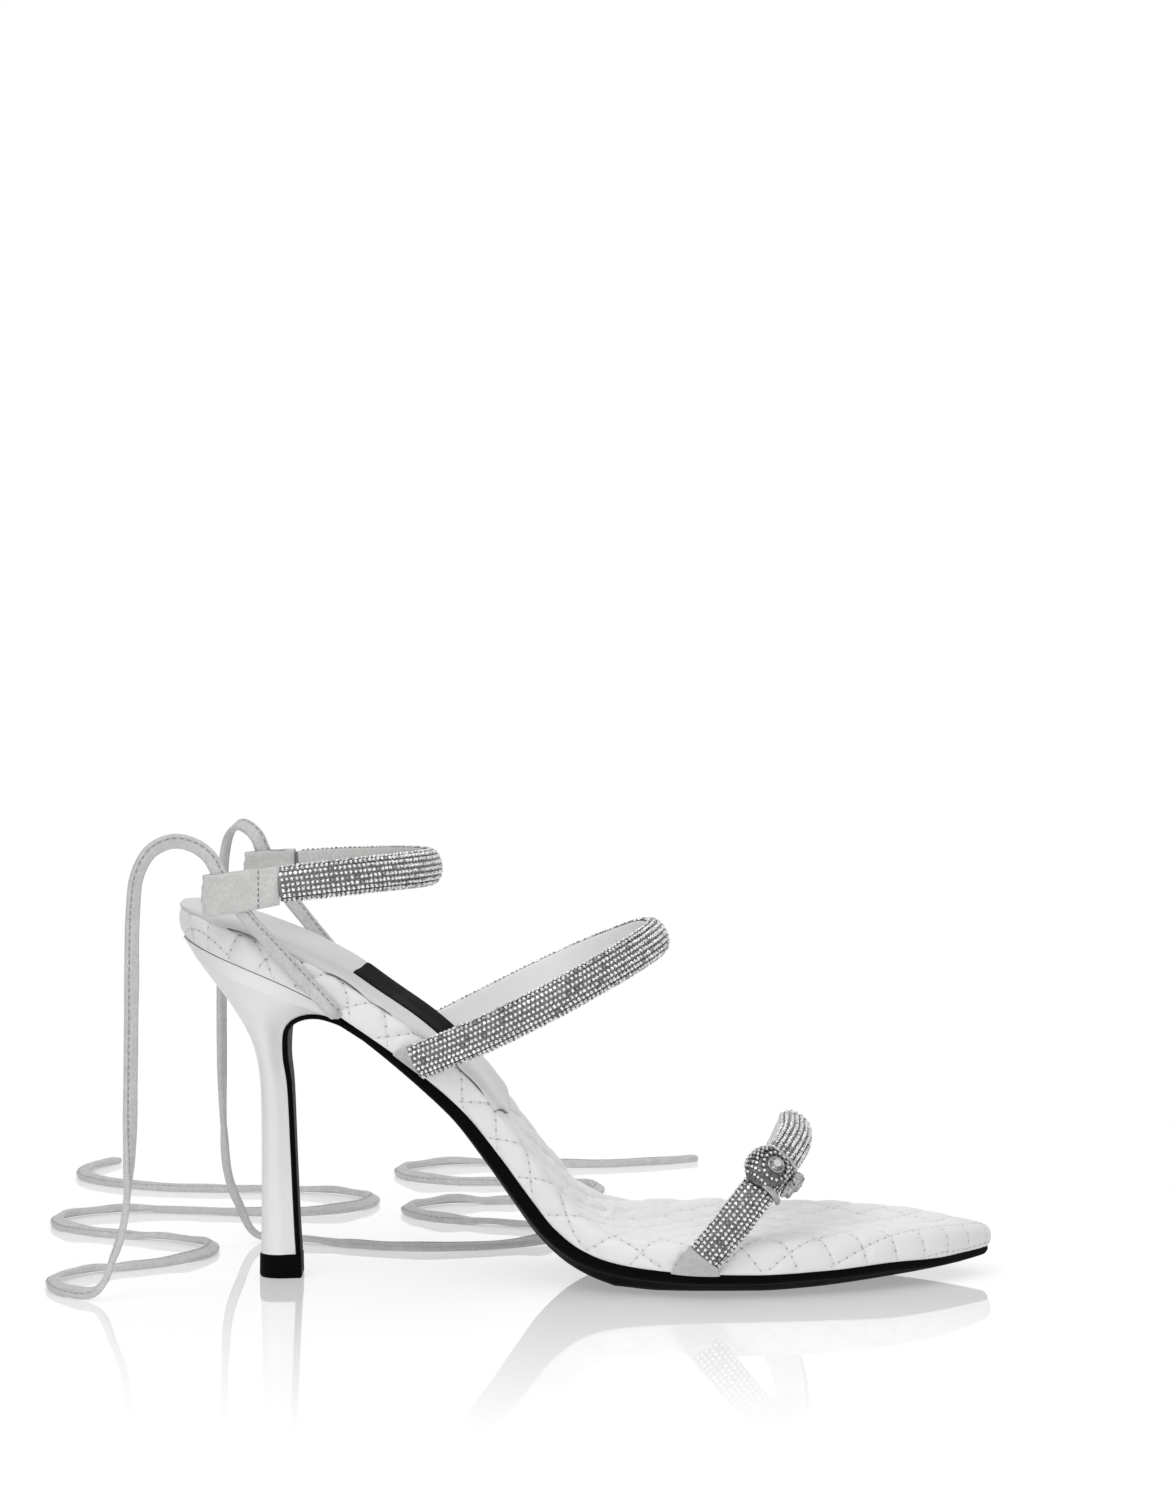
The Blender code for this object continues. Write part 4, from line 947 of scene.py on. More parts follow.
# ------------------------------------------------------------------ the outsole
SOLE = [  # x on the last; inset of the top edge; edge thickness; centre's height
    (226.3, 0.9, 1.8, 5.7), (216.0, 1.4, 2.6, 4.4), (206.0, 1.8, 2.8, 3.4),
    (196.0, 2.0, 2.9, 2.45), (187.0, 2.2, 3.0, 1.6), (174.0, 2.3, 3.0, 0.55),
    (160.0, 2.4, 3.2, 0.0),
    (134.0, 2.4, 3.7, 0.0), (124.0, 2.4, 3.9, 0.7)]
SHANK = [  # x on the last; inset of the top edge; edge and centre thickness
    (116.0, 2.4, 4.0, 7.1), (108.0, 2.4, 4.1, 5.9), (98.0, 2.3, 4.1, 5.1),
    (84.0, 2.2, 3.9, 4.5), (70.0, 2.1, 3.3, 3.6), (58.0, 2.0, 2.4, 2.6),
    (50.5, 2.2, 1.8, 1.9)]
HEEL_FACE = [  # breast row, half-width, thickness
    (1, 22.9, 1.5), (2, 21.6, 1.3), (3, 20.0, 1.2), (4, 18.0, 1.2), (5, 16.0, 1.2),
    (6, 14.2, 1.2), (7, 12.7, 1.2), (8, 11.0, 1.3), (9, 8.4, 1.3), (10, 6.3, 1.2),
    (11, 5.0, 1.2), (12, 4.9, 1.2), (13, 5.2, 1.2)]
SECTION = [  # share of the half-width; share of the edge's thickness; share of the centre's
    (1.0, 0.0, 0.0), (1.0, 0.18, 0.0), (0.999, 0.40, 0.0), (0.992, 0.60, 0.0),
    (0.976, 0.76, 0.0), (0.952, 0.88, 0.0), (0.915, 0.96, 0.0), (0.855, 1.0, 0.0),
    (0.80, 0.0, 0.30), (0.735, 0.0, 0.72), (0.67, 0.0, 1.0), (0.3, 0.0, 1.0)]


def outsole():
    both = sorted([(r[0], r[1]) for r in SOLE + SHANK])
    inset_f = pchip(both)
    edge_f = pchip(sorted([(r[0], r[2]) for r in SOLE + SHANK]))
    floor_f = pchip(sorted([(r[0], r[3]) for r in SOLE]))
    shank_f = pchip(sorted([(r[0], r[3]) for r in SHANK]))
    xs = np.concatenate([226.3 - 10 * (np.linspace(0, 1, 14) ** 1.8),
                         np.linspace(215.5, 121.2, 74), np.linspace(120.0, 53.5, 58)])

    def ring(top, down, middle, half, edge, centre):
        out = []
        for share, k, c in SECTION:
            t = edge * k if c == 0 else edge + (centre - edge) * c
            out.append((top[0] + down[0] * t, share * half, top[1] + down[1] * t))
        out = np.array(out)
        left = out * np.array([1, -1, 1]) + np.array([0, middle, 0])
        right = out[::-1] + np.array([0, middle, 0])
        return np.concatenate([left, right])
    rings = []
    for x in xs:
        h = max(float(half_width(x) - inset_f(x)), 0.35 * float(half_width(x)))
        top = on_last(x, 0.0, -GAP)
        a = math.atan2(float(feather_z(x + 0.8) - feather_z(x - 0.8)), 1.6)
        down = np.array([math.sin(a), -math.cos(a)])
        if x >= 121:
            down = np.array([0.0, -1.0])
            centre = float(top[2] - floor_f(x))
        else:
            centre = float(shank_f(x))
            if x >= 112:
                f = (121 - x) / 9.0
                down = unit(np.array([0.0, -1.0]) * (1 - f) + down * f)
        tip = 1 - 0.55 * max(0.0, (x - 224.9) / 1.4) ** 2     # the sole's rounded lip
        rings.append(ring((top[0], top[2]), down, float(middle_y(x)), h,
                          float(edge_f(x)) * tip, centre * tip))
    face = np.array(HEEL_FACE, float)
    ks = np.linspace(0, len(face) - 1, 74)
    for k, (row, half, thick) in zip(ks, smooth_rows(face, ks)):
        p, nrm = breast_offset([row], -0.15)
        rings.append(ring(p[0], nrm[0], 0.0, half, thick, thick))
    b = Build()
    b.grid(np.stack(rings), wrap=True, caps=True)
    return b.make("sole_leather", [sole_black], angle=38)


piece(outsole(), ["outsole"])

# ------------------------------------------------------------------ straps
BAND_WIDTH = 10.5
BAND_HEIGHT = 4.5
TOE_STRAP = [
    (141.3, -39.0, 6.6), (145.6, -39.2, 12.3), (153.0, -39.2, 21.5), (160.0, -36.6, 30.0),
    (166.0, -28.6, 36.0), (170.0, -16.0, 39.6), (171.2, 0.0, 40.4), (171.8, 15.0, 39.4),
    (171.6, 27.0, 35.2), (169.4, 34.6, 28.4), (165.6, 37.8, 20.6), (161.4, 38.2, 13.0),
    (158.0, 37.9, 6.8)]
TOE_ACROSS = (0.80, 0.0, -0.60)
INSTEP_STRAP = [
    (62.2, -26.4, 60.6), (66.6, -26.6, 63.5), (74.5, -28.4, 67.0), (84.0, -31.2, 71.3),
    (98.5, -32.4, 78.4), (111.0, -29.4, 84.8), (122.2, -21.4, 90.4), (129.4, -11.0, 93.9),
    (131.9, 0.0, 95.1), (129.4, 11.0, 94.2), (122.2, 21.4, 90.6), (111.0, 29.2, 85.2),
    (98.5, 32.2, 79.0), (84.0, 31.0, 71.8), (74.5, 28.4, 67.3), (66.6, 26.7, 63.5),
    (62.2, 26.5, 60.6)]
INSTEP_ACROSS = (0.46, 0.0, -0.888)
ANKLE_STRAP = [
    (30.0, -31.2, 112.8), (42.0, -30.8, 114.2), (54.0, -26.6, 115.2), (63.0, -18.2, 115.4),
    (67.8, -8.6, 115.2), (69.0, 0.0, 114.9), (67.8, 8.6, 114.5), (63.0, 18.2, 114.0),
    (54.0, 26.4, 113.3), (42.0, 30.2, 112.6), (30.5, 30.4, 111.9)]
ANKLE_ACROSS = (0.09, 0.0, -0.996)


class Band:
    """A strap's path with its directions: t along, w across, out away from the foot."""

    def __init__(self, route, across, step=0.5):
        self.p = rounded_path(route, step)
        self.s = run_length(self.p)
        self.t = tangents(self.p)
        w0 = unit(np.array(across, float))
        self.out = unit(np.cross(w0[None], self.t))
        self.w = unit(np.cross(self.t, self.out))
        self.length = float(self.s[-1])

    def at(self, s):
        s = np.asarray(s, float)
        pick = [np.stack([np.interp(s, self.s, a[:, k]) for k in range(3)], -1)
                for a in (self.p, self.t, self.w, self.out)]
        return pick[0], unit(pick[1]), unit(pick[2]), unit(pick[3])


def crown(phi, lift):
    """The padded face's section: (across, out) and the outward unit there."""
    def point(q):
        c, sn = np.cos(q), np.sin(q)
        return np.stack([np.sign(sn) * np.abs(sn) ** 0.9 * (BAND_WIDTH / 2 + lift),
                         np.abs(c) ** 0.75 * (BAND_HEIGHT + lift)], -1)
    p = point(phi)
    d = unit(point(phi + 1e-3) - point(phi - 1e-3))
    return p, np.stack([-d[..., 1], d[..., 0]], -1)


def crown_rows(lift, count, limit=1.50):
    """Angles of count rows at equal spacing around the padded face."""
    q = np.linspace(-limit, limit, 800)
    p, _ = crown(q, lift)
    run = np.concatenate([[0.0], np.cumsum(np.linalg.norm(np.diff(p, axis=0), axis=1))])
    want = (np.arange(count) + 0.5) / count * run[-1]
    return np.interp(want, run, q), run[-1] / count


# one stone: a table, eight crown facets cut in two, and its girdle sunk in the setting
def stone_shape(r, table, high, sides=8):
    v = [(0.0, 0.0, high)]
    for k in range(sides):
        a = 2 * math.pi * (k + 0.5) / sides
        v.append((table * math.cos(a), table * math.sin(a), high))
    for k in range(sides):
        a = 2 * math.pi * k / sides
        v.append((r * math.cos(a), r * math.sin(a), 0.0))
    for k in range(sides):
        a = 2 * math.pi * k / sides
        v.append((r * 0.94 * math.cos(a), r * 0.94 * math.sin(a), -0.38 * r))
    f, kind = [], []
    for k in range(sides):
        n = (k + 1) % sides
        f.append((0, 1 + k, 1 + n)); kind.append(0)
        f.append((1 + k, 1 + sides + n, 1 + n)); kind.append(2)
        f.append((1 + k, 1 + sides + k, 1 + sides + n)); kind.append(1)
        f.append((1 + sides + k, 1 + 2 * sides + k, 1 + 2 * sides + n, 1 + sides + n))
        kind.append(3)
    return np.array(v), f, np.array(kind)


def place_stones(build, spots, normals, along, r, mat, sides=8, bright=0.5, deep=0.08,
                 table_share=0.56):
    v, f, kind = stone_shape(r, r * table_share, r * 0.62, sides)
    count = len(spots)
    if count == 0:
        return
    spin = rng.uniform(0, 2 * math.pi / sides, count)
    size = rng.uniform(0.95, 1.05, count)
    n = unit(normals + rng.normal(0, 0.07, (count, 3)))
    t = unit(along - n * (along * n).sum(1, keepdims=True))
    b = np.cross(n, t)
    c, s = np.cos(spin)[:, None], np.sin(spin)[:, None]
    tx, bx = t * c + b * s, b * c - t * s
    pts = (spots[:, None] + tx[:, None] * (v[None, :, :1] * size[:, None, None])
           + bx[:, None] * (v[None, :, 1:2] * size[:, None, None])
           + n[:, None] * (v[None, :, 2:] * size[:, None, None]))
    faces, shade = [], []
    k = len(v)
    fa = rng.random((count, len(f)))
    table = rng.random(count)
    for i in range(count):
        o = i * k
        faces.extend([tuple(o + q for q in face) for face in f])
        # painted light: bright tables are painted glints, darker crown facets and the sunk girdle
        # are painted shade
        one = np.where(kind == 0, 0.68 + 0.32 * table[i],
                       np.where(kind == 1, 0.30 - deep + 0.74 * fa[i],
                                np.where(kind == 2, 0.22 - deep + 0.74 * fa[i], 0.12)))
        # a few stones are painted darker, as painted shade
        if table[i] < 0.05:
            one = one * 0.6
        shade.extend(np.clip(one + bright - 0.5, 0, 1).tolist())
    build.add(pts.reshape(-1, 3), faces, mat, shade=shade)


def crystal_strap(name, band, start, end, slot_nodes, rows=9, pitch=1.34, r=0.64):
    """Tape and rows of stones from start to end along the strap."""
    s = np.arange(start - 0.3, end + 0.31, 0.8)
    p, t, w, out = band.at(s)
    phi = np.linspace(-1.53, 1.53, 41)
    tape, _ = crown(phi, -0.62)
    angles, gap = crown_rows(-0.40, rows)
    # the tape dips between the rows of stones
    arc_q = np.interp(phi, angles, np.arange(rows))
    ridge = -0.10 * np.cos(2 * math.pi * arc_q)
    tape = tape * (1 - ridge[:, None] * 0.03)
    b = Build()
    face = (p[:, None] + w[:, None] * tape[None, :, :1] + out[:, None] * tape[None, :, 1:])
    back_a = np.linspace(BAND_WIDTH / 2 - 0.62, -(BAND_WIDTH / 2 - 0.62), 12)[1:-1]
    back = (p[:, None] + w[:, None] * back_a[None, :, None] + out[:, None] * 0.12)
    ring = np.concatenate([face, back], 1)
    b.grid(ring, wrap=True, mat=0, caps=True)
    stones = Build()
    for row, q in enumerate(angles):
        c, nrm = crown(np.array([q]), -0.40)
        fine = np.arange(start + 0.55, end - 0.5, 0.25)
        pf, tf, wf, of = band.at(fine)
        line = pf + wf * c[0, 0] + of * c[0, 1]
        run = run_length(line)
        count = int(run[-1] / pitch)
        shift = rng.uniform(0.0, 0.6) * pitch
        want = np.linspace(0, run[-1] - pitch * 0.5, count) + shift
        want = want[want < run[-1]] + rng.normal(0, 0.035, int((want < run[-1]).sum()))
        at_s = np.interp(want, run, fine)
        pf, tf, wf, of = band.at(at_s)
        spots = pf + wf * c[0, 0] + of * c[0, 1]
        normals = wf * nrm[0, 0] + of * nrm[0, 1]
        place_stones(stones, spots, normals, tf, r, 0)
    tape_ob = piece(b.make(name + "_tape", [tape_metal], angle=50), slot_nodes)
    stone_ob = piece(stones.make(name + "_crystals", [crystal], flat=True))
    return tape_ob, stone_ob


def lining(name, band, start, end, mat, half=4.7, thick=0.55):
    """A thin leather panel on the strap's inner face, its edges turned."""
    s = np.arange(start, end + 0.01, 1.2)
    p, t, w, out = band.at(s)
    sec = np.array([(-half, 0.05), (-half - 0.12, -0.15), (-half + 0.1, -0.42),
                    (-half + 0.7, -thick), (-half * 0.5, -thick - 0.06),
                    (0, -thick - 0.10), (half * 0.5, -thick - 0.06), (half - 0.7, -thick),
                    (half - 0.1, -0.42), (half + 0.12, -0.15), (half, 0.05), (0, 0.05)])
    grid = p[:, None] + w[:, None] * sec[None, :, :1] + out[:, None] * sec[None, :, 1:]
    b = Build()
    b.grid(grid, wrap=True, caps=True)
    return piece(b.make(name, [mat], angle=50))


def tab(name, band, upto, far, left, right):
    """The suede end of a strap: lasted under along the feather line from left to right,
    half-round where it meets the first stones."""
    side = 1.0 if far else -1.0
    s0 = band.length - upto if far else upto
    p, t, w, out = band.at(np.array([s0]))
    phi = np.linspace(-1.50, 1.50, 33)
    sec, _ = crown(phi, -0.06)
    back_a = np.linspace(4.8, -4.8, 12)
    across = np.concatenate([sec[:, 0], back_a])
    high = np.concatenate([sec[:, 1], 0 * back_a + 0.05])
    top = p[0] + w[0] * across[:, None] + out[0] * high[:, None]
    g = np.clip(across / (BAND_WIDTH / 2), -1, 1)
    xb = (left + right) / 2 + g * (right - left) / 2
    low = np.stack([xb, middle_y(xb) + side * (half_width(xb) + 0.1 + 0.30 * high),
                    feather_z(xb) - 0.1], -1)
    rings = []
    for f in np.concatenate([[0.0, 0.03, 0.08], np.linspace(0.16, 1.0, 12)]):
        rise = smooth01(f) * 0.55 + f * 0.45
        ring = low * (1 - f) + top * f
        ring[:, 1] = low[:, 1] * (1 - rise) + top[:, 1] * rise
        crease = 0.10 * np.sin(g * 7.0 + f * 5.0) * math.sin(math.pi * f)
        ring[:, 1] += side * crease * (high > 0.3)
        rings.append(ring)
    b = Build()
    b.grid(np.stack(rings), wrap=True, caps=True)
    return piece(b.make(name, [suede_tab], angle=50))


toe = Band(TOE_STRAP, TOE_ACROSS)
instep = Band(INSTEP_STRAP, INSTEP_ACROSS)
ankle = Band(ANKLE_STRAP, ANKLE_ACROSS)
TOE_START, TOE_END = 6.8, toe.length - 6.8
INSTEP_START, INSTEP_END = 5.4, instep.length - 5.4
crystal_strap("toe_strap", toe, TOE_START, TOE_END, ["toe_strap"])
crystal_strap("instep_strap", instep, INSTEP_START, INSTEP_END, ["instep_strap"])
crystal_strap("ankle_strap", ankle, 0.3, ankle.length - 0.3, ["ankle_strap"])
lining("toe_strap_lining", toe, 7.0, toe.length - 7.0, lining_leather)
lining("instep_strap_lining", instep, 5.5, instep.length - 5.5, lining_leather)
lining("ankle_strap_lining", ankle, 0.4, ankle.length - 0.4, suede_plain)
for far in (False, True):
    side_name = "medial" if far else "lateral"
    tab("toe_tab_" + side_name, toe, TOE_START + 0.3, far, *((150.4, 164.6) if far else
                                                             (136.2, 149.8)))
    tab("instep_tab_" + side_name, instep, INSTEP_START + 0.3, far, 60.4, 69.2)

# ------------------------------------------------------------------ sleeves and laces
LACES = {
    "lateral": dict(
        route=[(45.6, -28.7, 76.6), (40.4, -29.0, 82.2), (34.2, -29.6, 89.0),
               (27.4, -31.2, 96.9), (20.4, -32.8, 105.2), (16.7, -31.9, 110.8),
               (13.2, -30.8, 116.6)],
        front=dict(x=29.9, y=-31.1, low=107.4, high=118.0),
        back=dict(x=8.8, y=-26.9, low=103.6, high=115.2), side=-1),
    "medial": dict(
        route=[(51.6, 27.7, 72.6), (46.4, 28.1, 80.4), (41.0, 28.7, 87.9),
               (34.2, 30.4, 96.2), (27.6, 32.8, 104.2), (23.8, 32.9, 110.4),
               (20.7, 32.3, 117.3)],
        front=dict(x=29.9, y=30.4, low=106.6, high=117.2),
        back=dict(x=15.6, y=28.0, low=105.4, high=116.4), side=1),
}
SLEEVE_THICK = 4.5
SLOT_WIDTH = 5.8
SLOT_THICK = 2.9
LACE_TURN = pchip([(88.0, 0.0), (94.0, -0.06), (102.0, -0.24), (110.0, -0.28)])


def sleeve(name, spec):
    """A sewn loop on the strap's end; the lace runs up through its slot."""
    f, bk, side = spec["front"], spec["back"], spec["side"]
    route = rounded_path(spec["route"], 0.5)
    count = 48
    ang = np.arange(count) / count * 2 * math.pi
    rings_out, rings_in = [], []
    shares = np.concatenate([[0.0, 0.012, 0.035, 0.07], np.linspace(0.12, 0.88, 19),
                             [0.93, 0.965, 0.988, 1.0]])
    for share in shares:
        edge = min(share, 1 - share)
        pinch = 0.55 * (1 - math.sin(math.pi / 2 * min(1.0, edge / 0.07)))
        zf = f["low"] + (f["high"] - f["low"]) * share
        zb = bk["low"] + (bk["high"] - bk["low"]) * share
        c0 = route[np.argmin(np.abs(route[:, 2] - (zf + zb) / 2))]
        uc = (c0[0] - bk["x"]) / (f["x"] - bk["x"])
        # the outline in (u, out): a rounded bar, flatter at its free end
        ex = 0.36
        cu = np.sign(np.cos(ang)) * np.abs(np.cos(ang)) ** ex
        co = np.sign(np.sin(ang)) * np.abs(np.sin(ang)) ** (ex + 0.12)
        u = 0.5 + 0.5 * cu
        mid = SLEEVE_THICK / 2
        round_in = math.sqrt(max(0.0, 1 - abs(2 * share - 1) ** 2.4))
        half = (mid - pinch) * (0.86 + 0.14 * smooth01((u - 0.55) / 0.45))
        outer_half = half * (1 - smooth01((u - 0.72) / 0.28) * (1 - max(round_in, 0.35)))
        out = np.where(co > 0, mid + co * outer_half, mid + co * half)
        # the stitched line pulls the two faces together
        dimple = 0.42 * np.exp(-((u - 0.735) / 0.022) ** 2)
        out = out - np.sign(co) * dimple * (np.abs(co) > 0.5)
        xb = bk["x"] + pinch * 0.6

        def wall(uu, oo):
            x = xb + (f["x"] + 0.35 - xb) * uu
            y = bk["y"] + (f["y"] - bk["y"]) * uu
            bow = 1.3 * np.sin(math.pi * uu)
            z = zb + (zf - zb) * uu
            return np.stack([x, y + side * (oo + bow), z], -1)
        wob = 0.22 * math.sin(share * 9.0) + 0.12 * math.sin(share * 23.0 + 1.0)
        ring = wall(u, out)
        ring[:, 0] += wob * (1 - u)
        rings_out.append(ring)
        su = SLOT_WIDTH / 2 / (f["x"] - xb) * 1.02
        rings_in.append(wall(uc + su * np.cos(ang), mid + SLOT_THICK / 2 * np.sin(ang)))
    ro, ri = np.stack(rings_out), np.stack(rings_in)
    b = Build()
    b.grid(ro, wrap=True)
    b.grid(ri, wrap=True)
    n = count
    rows = len(shares)
    off = rows * n
    faces = []
    for level in (0, rows - 1):
        for k in range(n):
            j = (k + 1) % n
            faces.append((level * n + k, level * n + j, off + level * n + j,
                          off + level * n + k))
    b.f.extend(faces)
    b.m.extend([0] * len(faces))
    b.shade.extend([0.5] * len(faces))
    ob = piece(b.make(name, [suede_plain], angle=60),
               ["lace_sleeve_" + name.split("_")[-1]])
    # the stitches that close the loop, on its outer face
    th = Build()
    for share in np.linspace(0.08, 0.92, 7):
        zf = f["low"] + (f["high"] - f["low"]) * share
        zb = bk["low"] + (bk["high"] - bk["low"]) * share
        u0 = 0.735
        x = bk["x"] + (f["x"] + 0.35 - bk["x"]) * u0
        y = bk["y"] + (f["y"] - bk["y"]) * u0 + side * (SLEEVE_THICK - 0.55
                                                        + 1.3 * math.sin(math.pi * u0))
        z = zb + (zf - zb) * u0
        thread(th, (x, y, z - 0.48), (x + 0.05, y, z + 0.48), 0.17, (0, side, 0))
    piece(th.make(name + "_stitches", [thread_grey]))
    return ob


def thread(build, a, b, r, up, mat=0):
    """One stitch: a short rounded thread from a to b, its ends sinking into the leather."""
    a, b, up = np.array(a, float), np.array(b, float), unit(np.array(up, float))
    t = unit(b - a)
    side = unit(np.cross(t, up))
    rings = []
    for f, h, k in ((-0.06, -1.1, 0.55), (0.10, -0.1, 0.95), (0.35, 0.42, 1.0),
                    (0.65, 0.42, 1.0), (0.90, -0.1, 0.95), (1.06, -1.1, 0.55)):
        c = a + (b - a) * f + up * (h * r)
        ring = [c + side * (math.cos(q) * r * k) + up * (math.sin(q) * r * k * 0.8)
                for q in np.arange(6) * math.pi / 3]
        rings.append(ring)
    build.grid(np.array(rings), wrap=True, mat=mat, caps=True)


def thread_material(name, colour):
    s = Shader(name)
    mm = s.mm()
    twist = s.noise(mm, 9.0, 2.0, 0.5)
    tone = s.mix(s.span(twist, 0.35, 0.65), tuple(c * 0.75 for c in colour), colour)
    return s.set(colour=tone, rough=0.7, normal=s.bump(twist, 0.05, 0.6), sheen=0.2)


thread_grey = thread_material("thread_grey", (0.20, 0.20, 0.19))
thread_white = thread_material("thread_white", (0.80, 0.80, 0.79))

for side_name, spec in LACES.items():
    sleeve("sleeve_" + side_name, spec)
    # tucked in under the footbed below, and met by the free end above
    first, second = np.array(spec["route"][0]), np.array(spec["route"][1])
    first = first + (second - first) * 0.2
    tuck = tuple(first * 2 - second + np.array([-3.6, -2.6 * spec["side"], 4.4]))
    tie_route = TIES[side_name]
    above = tuple((np.array(tie_route[0]) + np.array(tie_route[1])) / 2)
    pts = rounded_path([tuck, tuple(first)] + spec["route"][1:] + [tie_route[0], above], 1.2)
    pts = pts[run_length(pts) < run_length(pts)[-1] - 0.9]
    t = tangents(pts)
    out = np.stack([LACE_TURN(np.clip(pts[:, 2], 88.0, 110.0)),
                    float(spec["side"]) + 0 * pts[:, 0], 0 * pts[:, 0]], 1)
    out = unit(out - t * (out * t).sum(1, keepdims=True))
    wide = np.cross(t, out) * (1.0 if spec["side"] < 0 else -1.0)
    ob = ribbon("lace_run_" + side_name, pts, -wide, LACE_WIDTH, LACE_THICK, suede_lace,
                0.03)
    piece(ob, ["lace_" + side_name])

# ------------------------------------------------------------------ the sock
def cast(tree, origins, directions, lift):
    """Points lift above the tree's surface where the rays meet it."""
    out = np.empty((len(origins), 3))
    near = None
    for k, (o, d) in enumerate(zip(origins, directions)):
        hit = tree.ray_cast(Vector(o), Vector(d))
        if hit[0] is None:
            hit = tree.find_nearest(Vector(o))
        near = np.array(hit[0])
        up = np.array(hit[1]) * (1.0 if np.dot(hit[1], d) < 0 else -1.0)
        out[k] = near + up * lift[k]
    return out


def sock():
    """The smooth heel sock, glued over the quilting, its edge turned and rolled."""
    inset, front, bulge = 1.05, 83.4, 3.0
    r = HEEL_RADIUS - inset
    xs = np.concatenate([HEEL_X + inset + r * (1 - np.cos(np.linspace(0.02, math.pi / 2, 46))),
                         np.linspace(HEEL_X + HEEL_RADIUS, front, 104)[1:]])
    tail = np.array([0.0, 0.04, 0.12, 0.3, 0.6, 1.0, 1.6, 2.4, 3.4, 4.6])
    xs = np.concatenate([xs[xs < front - 5.0], front - tail[::-1]])
    k = np.maximum(0.0, 1.0 - (np.maximum(HEEL_X + HEEL_RADIUS - xs, 0.0) / r) ** 2.15) \
        ** (1 / 2.15)
    half = (half_mm(xs) - inset) * k
    edge = np.array([0.0, 0.04, 0.12, 0.3, 0.6, 1.0, 1.5, 2.2, 3.2, 4.6])
    inner = np.linspace(0.0, 1.0, 31)
    cols = []
    for h in half:
        e = edge * min(1.0, h / 9.0)
        left = -h + e
        mid = left[-1] * (1 - 2 * inner[1:-1])
        cols.append(np.concatenate([left, mid, -left[::-1]]))
    y = np.stack(cols)
    wob = 0.22 * np.sin(xs / 4.1) + 0.16 * np.sin(xs / 1.9 + 1.0)
    y = y + wob[:, None] * np.sign(y) * np.exp(-((half[:, None] - np.abs(y)) / 2.0) ** 2) * 0.6
    f = y / np.maximum(half[:, None], 0.1)
    x = xs[:, None] + bulge * smooth01((xs[:, None] - 56) / (front - 56)) * (1 - f * f) \
        + 0 * y
    y = y + middle_y(x)
    d_side = np.maximum(half[:, None] - np.abs(y - middle_y(x)), 0.0)
    d_back = np.maximum(x - HEEL_X - inset, 0.0)
    d_front = np.maximum(front + bulge * (1 - f * f) - x, 0.0)
    d = np.minimum(np.minimum(d_side, d_front), np.where(xs[:, None] < 12, d_back, 99.0))
    soft = 0.10 * np.sin(x / 6.0 + y / 9.0) + 0.07 * np.sin(x / 2.7 - y / 5.0 + 1.0)
    lift = np.interp(d, [0.0, 0.04, 0.12, 0.30, 0.60], [-0.55, 0.16, 0.46, 0.64, 0.68]) \
        + (0.16 + 0.1 * np.sin(x / 3.3)) * np.exp(-((d - 1.0) / 0.6) ** 2) \
        + soft * smooth01(d / 3.0)
    # its cushion fills the dish under the waist
    lift = lift + 1.9 * (1 - f * f) * smooth01((x - 24.0) / 22.0) \
        * smooth01((front + bulge - x) / 17.0)
    a = np.radians(lean_deg(x))
    down = np.stack([-np.sin(a), 0 * a, -np.cos(a)], -1).reshape(-1, 3)
    start = on_last(x, y, 40.0).reshape(-1, 3)
    pts = cast(bed_tree, start, down, lift.ravel()).reshape(x.shape + (3,))
    b = Build()
    b.grid(pts)
    global sock_tree
    sock_tree = BVHTree.FromPolygons(b.v[0].tolist(), b.f)
    rows, cols = x.shape
    # the outer strip of faces takes the dark edge colour: the cut edge and a painted shadow line
    m = np.zeros((rows - 1, cols - 1), int)
    m[:, 0] = m[:, -1] = 1
    m[-1, :] = 1
    b.m = m.ravel().tolist()
    return b.make("heel_sock", [sock_leather, cut_edge_and_painted_shadow], closed=False)


piece(sock())


def patch():
    """The woven label's place on the sock, left bare."""
    u = np.linspace(0, 1, 49)[:, None]
    v = np.linspace(0, 1, 57)[None, :]
    y = -19.0 + 38.0 * v + 0 * u
    x = 49.3 + 27.0 * u + 0.06 * (y + 19.0) * (1 - u)
    d = np.minimum(np.minimum(u * 27, (1 - u) * 27) + 0 * v, np.minimum(v * 38, (1 - v) * 38)
                   + 0 * u)
    lift = 0.02 + 0.26 * (1 - np.exp(-(d / 0.35) ** 1.4))
    start = np.stack([x, y, 130 + 0 * x], -1).reshape(-1, 3)
    down = np.tile([0.0, 0.0, -1.0], (len(start), 1))
    pts = cast(sock_tree, start, down, lift.ravel()).reshape(x.shape + (3,))
    b = Build()
    b.grid(pts, uv=np.stack([x, y], -1))
    return b.make("sock_patch", [patch_black], closed=False)


piece(patch())

# ------------------------------------------------------------------ strap ornament
def toe_face(s, across, lift):
    """Points over the toe strap's padded face: s along, across around it, in mm."""
    p, t, w, out = toe.at(s)
    ang = across / (BAND_WIDTH / 2 * 0.95)
    a = np.clip(ang, -1.45, 1.45)
    c, sn = np.cos(a), np.sin(a)
    lw = np.sign(sn) * np.abs(sn) ** 0.9 * (BAND_WIDTH / 2 + lift)
    lo = np.abs(c) ** 0.75 * (BAND_HEIGHT + lift)
    over = (ang - a) * BAND_WIDTH / 2
    n = unit(np.stack([np.sin(a) * 0.9, np.cos(a) + 0.12], -1))
    pts = p + w * (lw + np.abs(over) * np.sign(over) * 0.85)[..., None] \
        + out * (lo - np.abs(over) * 0.35)[..., None]
    return pts, w * n[..., :1] + out * n[..., 1:], t


